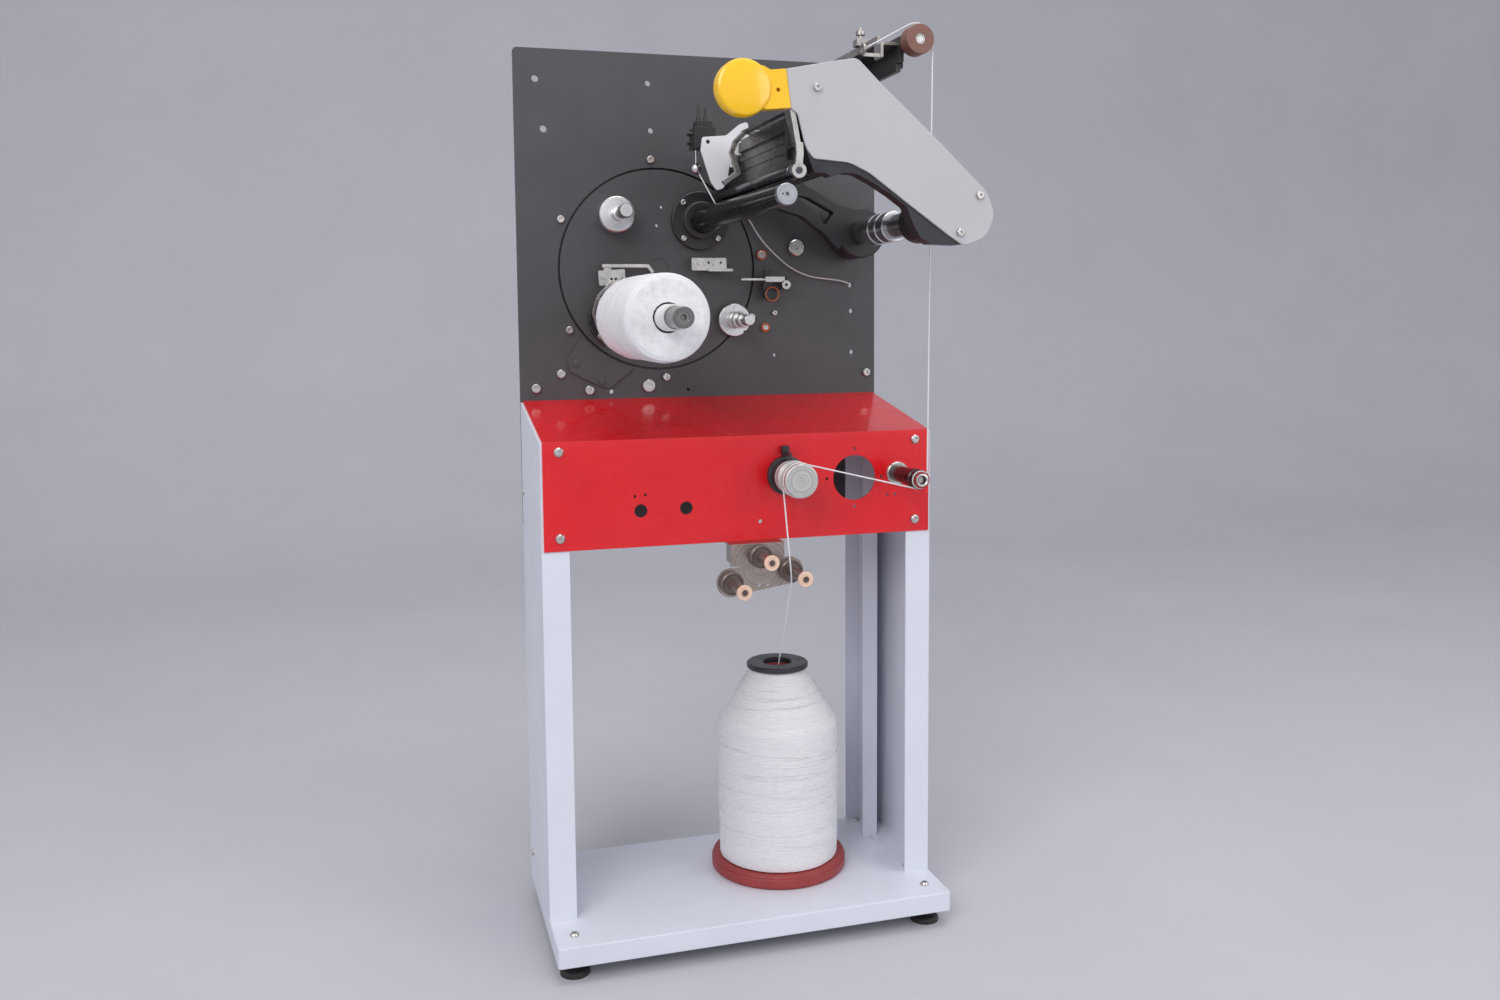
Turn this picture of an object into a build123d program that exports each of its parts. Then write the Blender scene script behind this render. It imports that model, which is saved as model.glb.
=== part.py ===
from build123d import *
import os
from math import atan2, ceil, cos, degrees, hypot, pi, radians, sin, tan

# Yarn cone winder with a two-spindle turret, in millimetres.
# +X is to the right, +Y to the back and +Z up. The origin lies on the floor under the middle of the stand.

# ---- fits ----
RUN_GAP = 0.05
FACE_GAP = 0.3

# ---- stand ----
STAND_WIDTH = 700.0
STAND_DEPTH = 374.0
SHEET = 3.0
FOOT_HEIGHT = 30.0
FOOT_RADIUS = 25.0
FOOT_SCREW_RADIUS = 5.0
FOOT_INSET_X = 33.0
FOOT_INSET_Y = 42.0
TRAY_HEIGHT = 34.0
TRAY_LIP = 14.0
TRAY_CORNER = 6.0
FRAME_SETBACK = 100.0
FLANGE_WIDTH = 46.6
POST_THICK = 30.0
POST_DEPTH = 96.0
POST_GAP = 29.0
BOLT_HEAD_RADIUS = 7.5
BOLT_HEAD_HEIGHT = 5.0

# ---- back panel ----
PANEL_THICK = 8.0
PANEL_BOTTOM = 700.0
PANEL_TOP = 1575.8
PANEL_CORNER = 8.0

# ---- front housing ----
HOUSING_SHEET = 3.0
HOUSING_SIDE_GAP = 4.0
HOUSING_BOTTOM = 701.3
HOUSING_SHOULDER = 884.7
HOUSING_REAR_TOP = 937.0
HOUSING_RETURN = 24.0
PORT_X = 203.5
PORT_Z = 803.1
PORT_RADIUS = 39.9
PORT_SCREW_CIRCLE = 103.0
PORT_SCREW_RADIUS = 2.6
SWITCH_HOLES = ((-182.1, 763.0, 11.15), (-103.1, 764.0, 11.15))
SMALL_HOLES = ((-191.9, 788.0, 2.5), (-173.9, 789.7, 2.5), (28.7, 733.7, 3.5),
               (266.6, 770.0, 2.5), (281.1, 770.0, 2.5))
HOUSING_SCREW_X = 319.0
HOUSING_SCREW_INSET = 20.0
HOUSING_SCREW_RADIUS = 8.0

# ---- turret ----
TURRET_X = -87.4
TURRET_Z = 1178.7
TURRET_RADIUS = 185.0
TURRET_GROOVE = 4.0
SPIGOT_RADIUS = 170.0
SPIGOT_WALL = 12.0
RING_RADIUS = 218.0
RING_THICK = 30.0
RING_SCREW_CIRCLE = 203.5
RING_SCREW_START = 93.5
RING_SCREW_COUNT = 6
GEAR_MODULE = 4.0
GEAR_TEETH = 92
PINION_TEETH = 18
GEAR_WIDTH = 18.0
GEAR_BACKLASH = 0.8
PINION_ANGLE = -60.0
PINION_BORE = 10.0
MOTOR_HALF = 45.0
MOTOR_LENGTH = 110.0
MOTOR_PLATE = 8.0
MOTOR_POST_RADIUS = 7.0
PLUG_RADIUS = 20.0

# ---- spindles ----
SPINDLE_CIRCLE = 121.5
SPINDLE_ANGLE = 48.6
SPINDLE_FLANGE_RADIUS = 55.0
SPINDLE_FLANGE_THICK = 12.0
SPINDLE_HUB_RADIUS = 35.0
SPINDLE_HUB_LENGTH = 15.0
SPINDLE_SCREW_CIRCLE = 94.0
SPINDLE_HOUSING_RADIUS = 30.0
SPINDLE_SHAFT_RADIUS = 12.0
SPINDLE_MOTOR_RADIUS = 42.0
SPINDLE_MOTOR_LENGTH = 95.0
MANDREL_REAR_RADIUS = 23.5
MANDREL_FRONT_RADIUS = 16.5
MANDREL_REAR_Y = 140.0
MANDREL_FRONT_Y = -345.0
MANDREL_CAP = 12.0
TUBE_WALL = 3.0
TUBE_FIT = 0.3
TUBE_FRONT_Y = -302.0
TUBE_REAR_Y = 40.0
PACKAGE_FRONT_Y = -252.0
PACKAGE_REAR_Y = 4.0
PACKAGE_RADIUS = 70.0

# ---- pieces on the turret face ----
UPPER_BOSS_X = -171.0
UPPER_BOSS_Z = 1277.0
UPPER_BOSS_RADIUS = 33.0
UPPER_BOSS_FRONT_Y = 139.0
LOWER_BOSS_CIRCLE = 172.8
LOWER_BOSS_ANGLE = -33.8
LOWER_BOSS_RADIUS = 31.0
LOWER_BOSS_THICK = 8.0
LOWER_BOSS_STAND_OFF = 12.0

# ---- swing arm ----
PIVOT_X = 295.0
PIVOT_Z = 1247.0
PIVOT_RADIUS = 14.0
PIVOT_FLANGE_RADIUS = 36.0
PIVOT_FLANGE_THICK = 12.0
ARM_HUB_RADIUS = 48.0
ARM_HUB_REAR_Y = 160.0
ARM_WEB_REAR_Y = 132.0
ARM_WEB_FRONT_Y = 108.0
ARM_TUBE_RADIUS = 22.0
ARM_RING_RADIUS = 28.0
ARM_RING_REAR_Y = 55.0
ARM_RING_FRONT_Y = -58.0
FRONT_BOSS_RADIUS = 40.0
FRONT_BOSS_REAR_Y = -156.0
CASTING_REAR_Y = -300.0
CASTING_FRONT_Y = -326.0
COVER_THICK = 4.0
COVER_SCREWS = ((49.7, 1432.3), (322.0, 1276.5), (288.5, 1218.0))
COVER_SCREW_RADIUS = 6.0
CAP_X = -65.3
CAP_Z = 1428.0
CAP_RADIUS = 42.5
CAP_DEPTH = 24.0

# ---- traverse and contact roller ----
BOX_LEFT = 25.0
BOX_RIGHT = 125.0
BOX_BOTTOM = 1322.0
BOX_TOP = 1398.0
BOX_WALL = 4.0
SLOT_BOTTOM = 1375.0
SLOT_TOP = 1391.0
TRAVERSE_STROKE = 255.0
GUIDE_REAR_Y = 5.0
GUIDE_LENGTH = 22.0
ROLLER_X = 20.0
ROLLER_Z = 1308.0
ROLLER_RADIUS = 12.0
ROLLER_PIN_RADIUS = 5.0
BALL_X = -44.0
BALL_Y = 50.0
BALL_Z = 1352.0
BALL_RADIUS = 9.5

# ---- yarn lever ----
LEVER_X = 144.0
LEVER_Z = 1159.0
LEVER_TIP_X = 64.0
LEVER_FRONT_Y = 132.0
LEVER_REAR_Y = 148.0

# ---- guide beam and its roller ----
BEAM_LEFT = 284.0
BEAM_THICK = 8.0
BEAM_BOTTOM = 1512.0
BEAM_TOP = 1570.0
BEAM_FRONT_Y = -98.0
TOP_ROLLER_X = 308.0
TOP_ROLLER_Z = 1560.0
TOP_ROLLER_RADIUS = 25.5
TOP_ROLLER_BORE = 9.0
TOP_ROLLER_FRONT_Y = -133.0
TOP_ROLLER_REAR_Y = -103.0

# ---- yarn rollers and tensioner on the front housing ----
FEED_X = 284.8
FEED_Z = 807.7
FEED_BODY_RADIUS = 14.5
FEED_GROOVE_RADIUS = 14.6
FEED_RIM_RADIUS = 17.0
FEED_FRONT_Y = -198.0
FEED_GROOVE_Y = -182.0
FEED_GROOVE_WIDTH = 9.0
FEED_PIN_RADIUS = 6.0
TENSION_X = 75.0
TENSION_Z = 813.0
TENSION_RADIUS = 30.5
TENSION_GROOVE_RADIUS = 26.0
TENSION_GROOVE_Y = -149.5
TENSION_GROOVE_WIDTH = 14.0
TENSION_BASE_THICK = 26.0
TENSION_FRONT_Y = -179.0
TENSION_PIN_RADIUS = 6.0
SNUBBER_PLATE_Y = -120.0
SNUBBER_SHEET = 3.0
SNUBBER_BOTTOM = 606.0
SNUBBER_PIN_RADIUS = 4.0
SNUBBER_YARN_Y = -163.0
SNUBBER_ROLLERS = ((18.3, 679.0, -190.0), (72.4, 651.0, -205.0), (-33.8, 635.5, -205.0))
SNUBBER_RIM_RADIUS = 20.0
SNUBBER_CORE_RADIUS = 9.0
SNUBBER_CAP_RADIUS = 12.5

# ---- supply bobbin ----
BOBBIN_X = 95.0
BOBBIN_Y = 27.0
BOBBIN_BASE_RADIUS = 125.0
BOBBIN_BASE_THICK = 25.0
BOBBIN_TUBE_RADIUS = 32.0
BOBBIN_HOLE_RADIUS = 26.0
BOBBIN_YARN_RADIUS = 111.0
BOBBIN_SHOULDER = 350.0
BOBBIN_NECK_RADIUS = 50.0
BOBBIN_NECK = 440.0
BOBBIN_CAP_RADIUS = 57.0
BOBBIN_CAP_THICK = 10.0
YARN_START_Z = 430.0

# ---- yarn and cable ----
YARN_RADIUS = 1.3
YARN_GAP = 0.8
YARN_SLANT_GAP = 2.8
CABLE_RADIUS = 1.5

# ---- worked out from the sizes above ----
HALF_WIDTH = STAND_WIDTH / 2
HALF_DEPTH = STAND_DEPTH / 2
TRAY_TOP = FOOT_HEIGHT + TRAY_HEIGHT
FRAME_FRONT_Y = -HALF_DEPTH + FRAME_SETBACK
PANEL_REAR_Y = HALF_DEPTH
PANEL_FRONT_Y = HALF_DEPTH - PANEL_THICK
HOUSING_FRONT_Y = FRAME_FRONT_Y - HOUSING_SHEET
SLOPE = (HOUSING_REAR_TOP - HOUSING_SHOULDER) / (PANEL_FRONT_Y - HOUSING_FRONT_Y)
SLOPE_DROP = HOUSING_SHEET * hypot(1.0, SLOPE)
POST_OUTER_X = HALF_WIDTH - SHEET - POST_GAP
POST_INNER_X = POST_OUTER_X - POST_THICK
POST_FRONT_Y = PANEL_FRONT_Y - POST_DEPTH
FOOT_X = HALF_WIDTH - FOOT_INSET_X
FOOT_Y = HALF_DEPTH - FOOT_INSET_Y
TURRET_REAR_Y = PANEL_REAR_Y - FACE_GAP
RING_REAR_Y = PANEL_REAR_Y + RING_THICK
GEAR_FRONT_Y = RING_REAR_Y + FACE_GAP
GEAR_REAR_Y = GEAR_FRONT_Y + GEAR_WIDTH
GEAR_PITCH = GEAR_MODULE * GEAR_TEETH / 2
PINION_PITCH = GEAR_MODULE * PINION_TEETH / 2
PINION_X = TURRET_X + (GEAR_PITCH + PINION_PITCH) * cos(radians(PINION_ANGLE))
PINION_Z = TURRET_Z + (GEAR_PITCH + PINION_PITCH) * sin(radians(PINION_ANGLE))
FLANGE_FRONT_Y = PANEL_FRONT_Y - SPINDLE_FLANGE_THICK
HUB_FRONT_Y = FLANGE_FRONT_Y - SPINDLE_HUB_LENGTH
HOUSING_REAR_Y = GEAR_REAR_Y + FACE_GAP
WINDING_X = TURRET_X + SPINDLE_CIRCLE * cos(radians(SPINDLE_ANGLE))
WINDING_Z = TURRET_Z + SPINDLE_CIRCLE * sin(radians(SPINDLE_ANGLE))
DOFF_X = TURRET_X - SPINDLE_CIRCLE * cos(radians(SPINDLE_ANGLE))
DOFF_Z = TURRET_Z - SPINDLE_CIRCLE * sin(radians(SPINDLE_ANGLE))
LOWER_BOSS_X = TURRET_X + LOWER_BOSS_CIRCLE * cos(radians(LOWER_BOSS_ANGLE))
LOWER_BOSS_Z = TURRET_Z + LOWER_BOSS_CIRCLE * sin(radians(LOWER_BOSS_ANGLE))
COVER_FRONT_Y = CASTING_FRONT_Y - COVER_THICK


# ---- helpers ----
def block(x0, x1, y0, y1, z0, z1):
    return Pos((x0 + x1) / 2, (y0 + y1) / 2, (z0 + z1) / 2) * Box(abs(x1 - x0), abs(y1 - y0), abs(z1 - z0))


def rod_y(x, z, radius, y0, y1):
    return Pos(x, (y0 + y1) / 2, z) * Rot(90, 0, 0) * Cylinder(radius, abs(y1 - y0))


def rod_z(x, y, radius, z0, z1):
    return Pos(x, y, (z0 + z1) / 2) * Cylinder(radius, abs(z1 - z0))


def rod_x(y, z, radius, x0, x1):
    return Pos((x0 + x1) / 2, y, z) * Rot(0, 90, 0) * Cylinder(radius, abs(x1 - x0))


def turned_y(x, z, profile):
    """A body turned about an axis along Y, from (radius, y) points."""
    outline = make_face(Polyline(*[(r, -y) for r, y in profile], close=True))
    return Pos(x, 0, z) * Rot(90, 0, 0) * revolve(Plane.XZ * outline, Axis.Z)


def turned_z(x, y, profile):
    """A body turned about an upright axis, from (radius, z) points."""
    outline = make_face(Polyline(*profile, close=True))
    return Pos(x, y, 0) * revolve(Plane.XZ * outline, Axis.Z)


def slab_y(sketch, y0, y1):
    """A sketch in X and Z made into a plate from y0 to y1."""
    return extrude(Plane.XZ.offset(-max(y0, y1)) * sketch, amount=abs(y1 - y0))


def outline(points, radii=None):
    """A closed outline whose corners are rounded."""
    if radii is None:
        return make_face(Polyline(*points, close=True))
    return make_face(FilletPolyline(*points, radius=radii, close=True))


def ribbon(points, width):
    """A bent strip of even width along a route, with round bends."""
    shape = None
    for start, end in zip(points, points[1:]):
        run = hypot(end[0] - start[0], end[1] - start[1])
        turn = degrees(atan2(end[1] - start[1], end[0] - start[0]))
        middle = ((start[0] + end[0]) / 2, (start[1] + end[1]) / 2)
        piece = Pos(*middle) * Rot(0, 0, turn) * Rectangle(run, width)
        shape = piece if shape is None else shape + piece
    for bend in points[1:-1]:
        shape = shape + Pos(*bend) * Circle(width / 2)
    return shape


def around(x, z, circle_radius, count, start_angle):
    """Places spaced evenly on a circle in X and Z."""
    spots = []
    for index in range(count):
        angle = radians(start_angle + 360.0 * index / count)
        spots.append((x + circle_radius * cos(angle), z + circle_radius * sin(angle)))
    return spots


def socket_screw(x, z, face_y, head_radius, head_height, shank_radius, length, rim=1.0):
    """A cap screw whose head stands in front of face_y, with a hexagon socket."""
    head = turned_y(x, z, [(0, face_y), (head_radius, face_y), (head_radius, face_y - head_height + rim),
                           (head_radius - rim, face_y - head_height), (0, face_y - head_height)])
    socket = slab_y(Pos(x, z) * RegularPolygon(head_radius * 0.5, 6), face_y - head_height - 1,
                    face_y - head_height * 0.45)
    return head + rod_y(x, z, shank_radius, face_y, face_y + length) - socket


def slope_top(y):
    """Height of the outside of the sloping sheet."""
    return HOUSING_SHOULDER + SLOPE * (y - HOUSING_FRONT_Y)


def slope_under(y):
    return slope_top(y) - SLOPE_DROP


def chuck_radius(y):
    """Radius of the tapered spindle at a place along it."""
    share = (MANDREL_REAR_Y - y) / (MANDREL_REAR_Y - MANDREL_FRONT_Y)
    return MANDREL_REAR_RADIUS + share * (MANDREL_FRONT_RADIUS - MANDREL_REAR_RADIUS)


def tube_path(points, bend_share, limit):
    """A route of straight runs and tangent arcs, each arc as large as its runs allow."""
    radii = []
    for before, corner, after in zip(points, points[1:], points[2:]):
        first = Vector(*corner) - Vector(*before)
        second = Vector(*after) - Vector(*corner)
        turn = radians(first.get_angle(second))
        shorter = min(first.length, second.length)
        radii.append(min(limit, bend_share * shorter / tan(turn / 2)))
    return FilletPolyline(*points, radius=radii), radii


def swept_tube(points, radius, bend_share=0.45, limit=4000.0):
    path, radii = tube_path(points, bend_share, limit)
    profile = Plane(origin=path @ 0, z_dir=path % 0) * Circle(radius)
    return sweep(profile, path=path), radii


# ---- stand ----
def foot_places():
    return [(sx * FOOT_X, sy * FOOT_Y) for sx in (-1, 1) for sy in (-1, 1)]


def make_foot_pads():
    neck = FOOT_SCREW_RADIUS + 5
    profile = [(0, 0), (FOOT_RADIUS, 0), (FOOT_RADIUS, 6), (FOOT_RADIUS - 3, 9), (neck, 12), (neck, 18), (0, 18)]
    pads = [turned_z(x, y, profile) for x, y in foot_places()]
    bores = [rod_z(x, y, FOOT_SCREW_RADIUS + RUN_GAP, 8, 19) for x, y in foot_places()]
    return [pad - bore for pad, bore in zip(pads, bores)]


def make_foot_screws():
    head = BOLT_HEAD_RADIUS
    profile = [(0, 8 + FACE_GAP), (FOOT_SCREW_RADIUS, 8 + FACE_GAP), (FOOT_SCREW_RADIUS, TRAY_TOP), (head, TRAY_TOP),
               (head, TRAY_TOP + 2), (head - 2, TRAY_TOP + BOLT_HEAD_HEIGHT), (0, TRAY_TOP + BOLT_HEAD_HEIGHT)]
    screws = []
    for x, y in foot_places():
        if y > 0:
            screws.append(rod_z(x, y, FOOT_SCREW_RADIUS, 8 + FACE_GAP, TRAY_TOP - FACE_GAP))
            continue
        socket = extrude(Pos(x, y, TRAY_TOP + 2) * RegularPolygon(head * 0.45, 6), amount=BOLT_HEAD_HEIGHT)
        screws.append(turned_z(x, y, profile) - socket)
    nut_top = TRAY_TOP - SHEET
    for x, y in foot_places():
        nut = extrude(Pos(x, y, nut_top - 7) * RegularPolygon(FOOT_SCREW_RADIUS * 1.9, 6), amount=7)
        screws.append(nut - rod_z(x, y, FOOT_SCREW_RADIUS + RUN_GAP, nut_top - 8, nut_top + 1))
    return screws


def make_base_tray():
    outer = extrude(Pos(0, 0, FOOT_HEIGHT) * RectangleRounded(STAND_WIDTH, STAND_DEPTH, TRAY_CORNER),
                    amount=TRAY_HEIGHT)
    inside = block(-HALF_WIDTH + SHEET, HALF_WIDTH - SHEET, -HALF_DEPTH + SHEET, HALF_DEPTH - SHEET,
                   FOOT_HEIGHT + SHEET, TRAY_TOP - SHEET)
    mouth = block(-HALF_WIDTH + TRAY_LIP, HALF_WIDTH - TRAY_LIP, -HALF_DEPTH + TRAY_LIP, HALF_DEPTH - TRAY_LIP,
                  FOOT_HEIGHT - 1, FOOT_HEIGHT + SHEET + 1)
    tray = outer - inside - mouth
    for x, y in foot_places():
        tray -= rod_z(x, y, FOOT_SCREW_RADIUS + RUN_GAP, TRAY_TOP - SHEET - 1, TRAY_TOP + 1)
    top_edges = tray.edges().group_by(Axis.Z)[-1].sort_by(Axis.Y)
    rim = [edge for edge in top_edges if edge.length > FLANGE_WIDTH]
    return fillet(rim, SHEET * 0.6)


def frame_section(side, inset, from_x, to_x):
    """The side frame's outline in Y and Z, drawn in by inset, between two distances from the middle."""
    front = FRAME_FRONT_Y + inset
    rear = PANEL_FRONT_Y - inset
    drop = inset * hypot(1.0, SLOPE)
    outline_yz = Polyline((front, TRAY_TOP + inset), (rear, TRAY_TOP + inset),
                          (rear, slope_under(rear) - drop), (front, slope_under(front) - drop), close=True)
    face = Plane.YZ.offset(min(side * from_x, side * to_x)) * make_face(outline_yz)
    return extrude(face, amount=abs(to_x - from_x))


def make_side_frame(side):
    inner_x = HALF_WIDTH - FLANGE_WIDTH
    frame = frame_section(side, 0.0, inner_x, HALF_WIDTH)
    frame -= frame_section(side, SHEET, inner_x - 1, HALF_WIDTH - SHEET)
    rear_clear = POST_OUTER_X + FACE_GAP
    frame -= block(side * (inner_x - 1), side * rear_clear, POST_FRONT_Y - FACE_GAP, PANEL_FRONT_Y + 1,
                   TRAY_TOP - 1, HOUSING_REAR_TOP + 1)
    for z in (HOUSING_SHOULDER - HOUSING_SCREW_INSET + 3, HOUSING_BOTTOM + HOUSING_SCREW_INSET + 2):
        frame -= rod_y(side * HOUSING_SCREW_X, z, HOUSING_SCREW_RADIUS * 0.4 + RUN_GAP, FRAME_FRONT_Y - 1,
                       FRAME_FRONT_Y + SHEET + 1)
    for y, z in SIDE_SCREWS:
        frame -= rod_x(y, z, SIDE_SCREW_RADIUS + RUN_GAP, side * (HALF_WIDTH + 1), side * (HALF_WIDTH - SHEET - 1))
    frame -= rod_z(side * FLANGE_BOLT_X, FLANGE_BOLT_Y, SIDE_SCREW_RADIUS + RUN_GAP, TRAY_TOP - 1,
                   TRAY_TOP + SHEET + 1)
    return frame


SIDE_SCREWS = ((156.0, 771.0), (136.0, 95.0))
SIDE_SCREW_RADIUS = 3.0
FLANGE_BOLT_X = HALF_WIDTH - FLANGE_WIDTH + 12
FLANGE_BOLT_Y = FRAME_FRONT_Y + 18
POST_BOLT_Y = PANEL_FRONT_Y - 22


def make_rear_post(side):
    x0 = side * POST_INNER_X
    x1 = side * POST_OUTER_X
    top = slope_under(POST_FRONT_Y) - FACE_GAP
    post = block(x0, x1, POST_FRONT_Y, PANEL_FRONT_Y, TRAY_TOP, top)
    post -= block(x0 - side, side * (POST_OUTER_X - SHEET), POST_FRONT_Y + SHEET, PANEL_FRONT_Y - SHEET,
                  TRAY_TOP + SHEET, top + 1)
    middle = side * (POST_INNER_X + POST_OUTER_X) / 2
    return post - rod_z(middle, POST_BOLT_Y, SIDE_SCREW_RADIUS + RUN_GAP, TRAY_TOP - 1, TRAY_TOP + SHEET + 1)


def button_z(x, y, face_z, head_radius, head_height, shank_radius, length):
    profile = [(0, face_z - length), (shank_radius, face_z - length), (shank_radius, face_z),
               (head_radius, face_z), (head_radius, face_z + head_height * 0.4),
               (head_radius * 0.7, face_z + head_height), (0, face_z + head_height)]
    return turned_z(x, y, profile)


def make_frame_bolts():
    bolts = []
    for side in (-1, 1):
        face = TRAY_TOP + SHEET
        post_x = side * (POST_INNER_X + POST_OUTER_X) / 2
        bolts.append(button_z(post_x, POST_BOLT_Y, face, 6.5, 4, SIDE_SCREW_RADIUS, SHEET))
        bolts.append(button_z(side * FLANGE_BOLT_X, FLANGE_BOLT_Y, face, 6.5, 4, SIDE_SCREW_RADIUS, SHEET))
        for y, z in SIDE_SCREWS:
            shank = rod_x(y, z, SIDE_SCREW_RADIUS, side * (HALF_WIDTH - SHEET), side * HALF_WIDTH)
            head = rod_x(y, z, 6.0, side * HALF_WIDTH, side * (HALF_WIDTH + 3.5))
            bolts.append(shank + head)
    return bolts


# ---- back panel ----
SPARE_HOLES = ((-310.3, 1521.7, 6.5), (-297.0, 1432.4, 6.5), (-102.0, 1522.1, 5.5), (-97.6, 1435.6, 5.25),
               (301.5, 1098.4, 4.75), (302.5, 1017.5, 4.75), (142.3, 1014.0, 3.5), (-179.6, 950.0, 4.25),
               (-30.7, 952.0, 3.75))
CABLE_HOLE_X = 299.4
CABLE_HOLE_Z = 1149.5
CABLE_HOLE_RADIUS = 5.0
PANEL_SCREWS = ((-274.5, 985.3, 8.0, 6.0), (-321.2, 959.5, 8.5, 7.0), (-222.1, 954.0, 8.5, 7.0),
                (332.3, 977.2, 7.5, 6.0), (140.7, 1095.5, 5.0, 8.0), (122.3, 1067.6, 5.5, 7.0),
                (115.2, 1206.9, 7.5, 8.0), (-108.6, 960.0, 12.0, 5.0))
PANEL_SCREW_SHANK = 3.0
PIVOT_BOLTS = 4
PANEL_KNOB_X = 184.3
PANEL_KNOB_Z = 1220.9
PANEL_KNOB_RADIUS = 16.0


def make_back_panel():
    height = PANEL_TOP - PANEL_BOTTOM
    sheet = Pos(0, PANEL_BOTTOM + height / 2) * RectangleRounded(STAND_WIDTH, height, PANEL_CORNER)
    panel = slab_y(sheet, PANEL_FRONT_Y, PANEL_REAR_Y)
    cuts = [rod_y(TURRET_X, TURRET_Z, TURRET_RADIUS + TURRET_GROOVE, PANEL_FRONT_Y - 1, PANEL_REAR_Y + 1),
            rod_y(PIVOT_X, PIVOT_Z, PIVOT_RADIUS + RUN_GAP, PANEL_FRONT_Y - 1, PANEL_REAR_Y + 1),
            rod_y(CABLE_HOLE_X, CABLE_HOLE_Z, CABLE_HOLE_RADIUS, PANEL_FRONT_Y - 1, PANEL_REAR_Y + 1),
            rod_y(PANEL_KNOB_X, PANEL_KNOB_Z, PANEL_SCREW_SHANK + RUN_GAP, PANEL_FRONT_Y - 1, PANEL_REAR_Y + 1)]
    for x, z, radius in SPARE_HOLES:
        cuts.append(rod_y(x, z, radius, PANEL_FRONT_Y - 1, PANEL_REAR_Y + 1))
    shanks = [(x, z) for x, z, head, rise in PANEL_SCREWS] + ring_screw_places()
    for x, z in shanks:
        cuts.append(rod_y(x, z, PANEL_SCREW_SHANK + RUN_GAP, PANEL_FRONT_Y - 1, PANEL_REAR_Y + 1))
    return panel - cuts


def ring_screw_places():
    return around(TURRET_X, TURRET_Z, RING_SCREW_CIRCLE, RING_SCREW_COUNT, RING_SCREW_START)


def make_panel_screws():
    screws = []
    for x, z, head, rise in PANEL_SCREWS:
        screws.append(socket_screw(x, z, PANEL_FRONT_Y, head, rise, PANEL_SCREW_SHANK, PANEL_THICK - 1))
    for x, z in ring_screw_places():
        screws.append(socket_screw(x, z, PANEL_FRONT_Y, 7.0, 7.0, PANEL_SCREW_SHANK, PANEL_THICK + 12))
    return screws


def make_panel_knob():
    radius = PANEL_KNOB_RADIUS
    face = PANEL_FRONT_Y
    knob = turned_y(PANEL_KNOB_X, PANEL_KNOB_Z,
                    [(0, face + PANEL_THICK), (PANEL_SCREW_SHANK, face + PANEL_THICK), (PANEL_SCREW_SHANK, face),
                     (radius, face), (radius, face - 11), (radius - 2, face - 13), (4, face - 13), (4, face - 6),
                     (0, face - 6)])
    return knob


# ---- front housing ----
def make_front_housing():
    half = HALF_WIDTH - HOUSING_SIDE_GAP
    rear = PANEL_FRONT_Y
    front = HOUSING_FRONT_Y
    back_face = front + HOUSING_SHEET
    outside = [(front, HOUSING_BOTTOM), (front, slope_top(front)), (rear, slope_top(rear)),
               (rear, slope_under(rear)), (back_face, slope_under(back_face)), (back_face, HOUSING_BOTTOM)]
    shell = extrude(Plane.YZ.offset(-half) * make_face(Polyline(*outside, close=True)), amount=2 * half)
    return_half = HALF_WIDTH - FLANGE_WIDTH - 2
    shell += block(-return_half, return_half, back_face, back_face + HOUSING_RETURN, HOUSING_BOTTOM,
                   HOUSING_BOTTOM + HOUSING_SHEET)
    cuts = [rod_y(PORT_X, PORT_Z, PORT_RADIUS, front - 1, back_face + 1)]
    for x, z in around(PORT_X, PORT_Z, PORT_SCREW_CIRCLE / 2, 4, 0.0):
        cuts.append(rod_y(x, z, PORT_SCREW_RADIUS, front - 1, back_face + 1))
    for x, z, radius in SWITCH_HOLES + SMALL_HOLES:
        cuts.append(rod_y(x, z, radius, front - 1, back_face + 1))
    for side in (-1, 1):
        for z in (HOUSING_SHOULDER - HOUSING_SCREW_INSET + 3, HOUSING_BOTTOM + HOUSING_SCREW_INSET + 2):
            cuts.append(rod_y(side * HOUSING_SCREW_X, z, HOUSING_SCREW_RADIUS * 0.4 + RUN_GAP, front - 1,
                              back_face + 1))
    cuts.append(rod_y(FEED_X, FEED_Z, FEED_PIN_RADIUS + RUN_GAP, front - 1, back_face + 1))
    cuts.append(rod_y(TENSION_X, TENSION_Z, TENSION_PIN_RADIUS + RUN_GAP, front - 1, back_face + 1))
    cuts.append(rod_z(SLOPE_HOLE_X, SLOPE_HOLE_Y, 3.0, slope_under(SLOPE_HOLE_Y) - 4, slope_top(SLOPE_HOLE_Y) + 4))
    return shell - cuts


SLOPE_HOLE_X = -118.0
SLOPE_HOLE_Y = 13.0


def make_housing_screws():
    screws = []
    for side in (-1, 1):
        for z in (HOUSING_SHOULDER - HOUSING_SCREW_INSET + 3, HOUSING_BOTTOM + HOUSING_SCREW_INSET + 2):
            screws.append(socket_screw(side * HOUSING_SCREW_X, z, HOUSING_FRONT_Y, HOUSING_SCREW_RADIUS, 6.0,
                                       HOUSING_SCREW_RADIUS * 0.4, HOUSING_SHEET + SHEET + 2, rim=2.5))
    return screws


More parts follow.
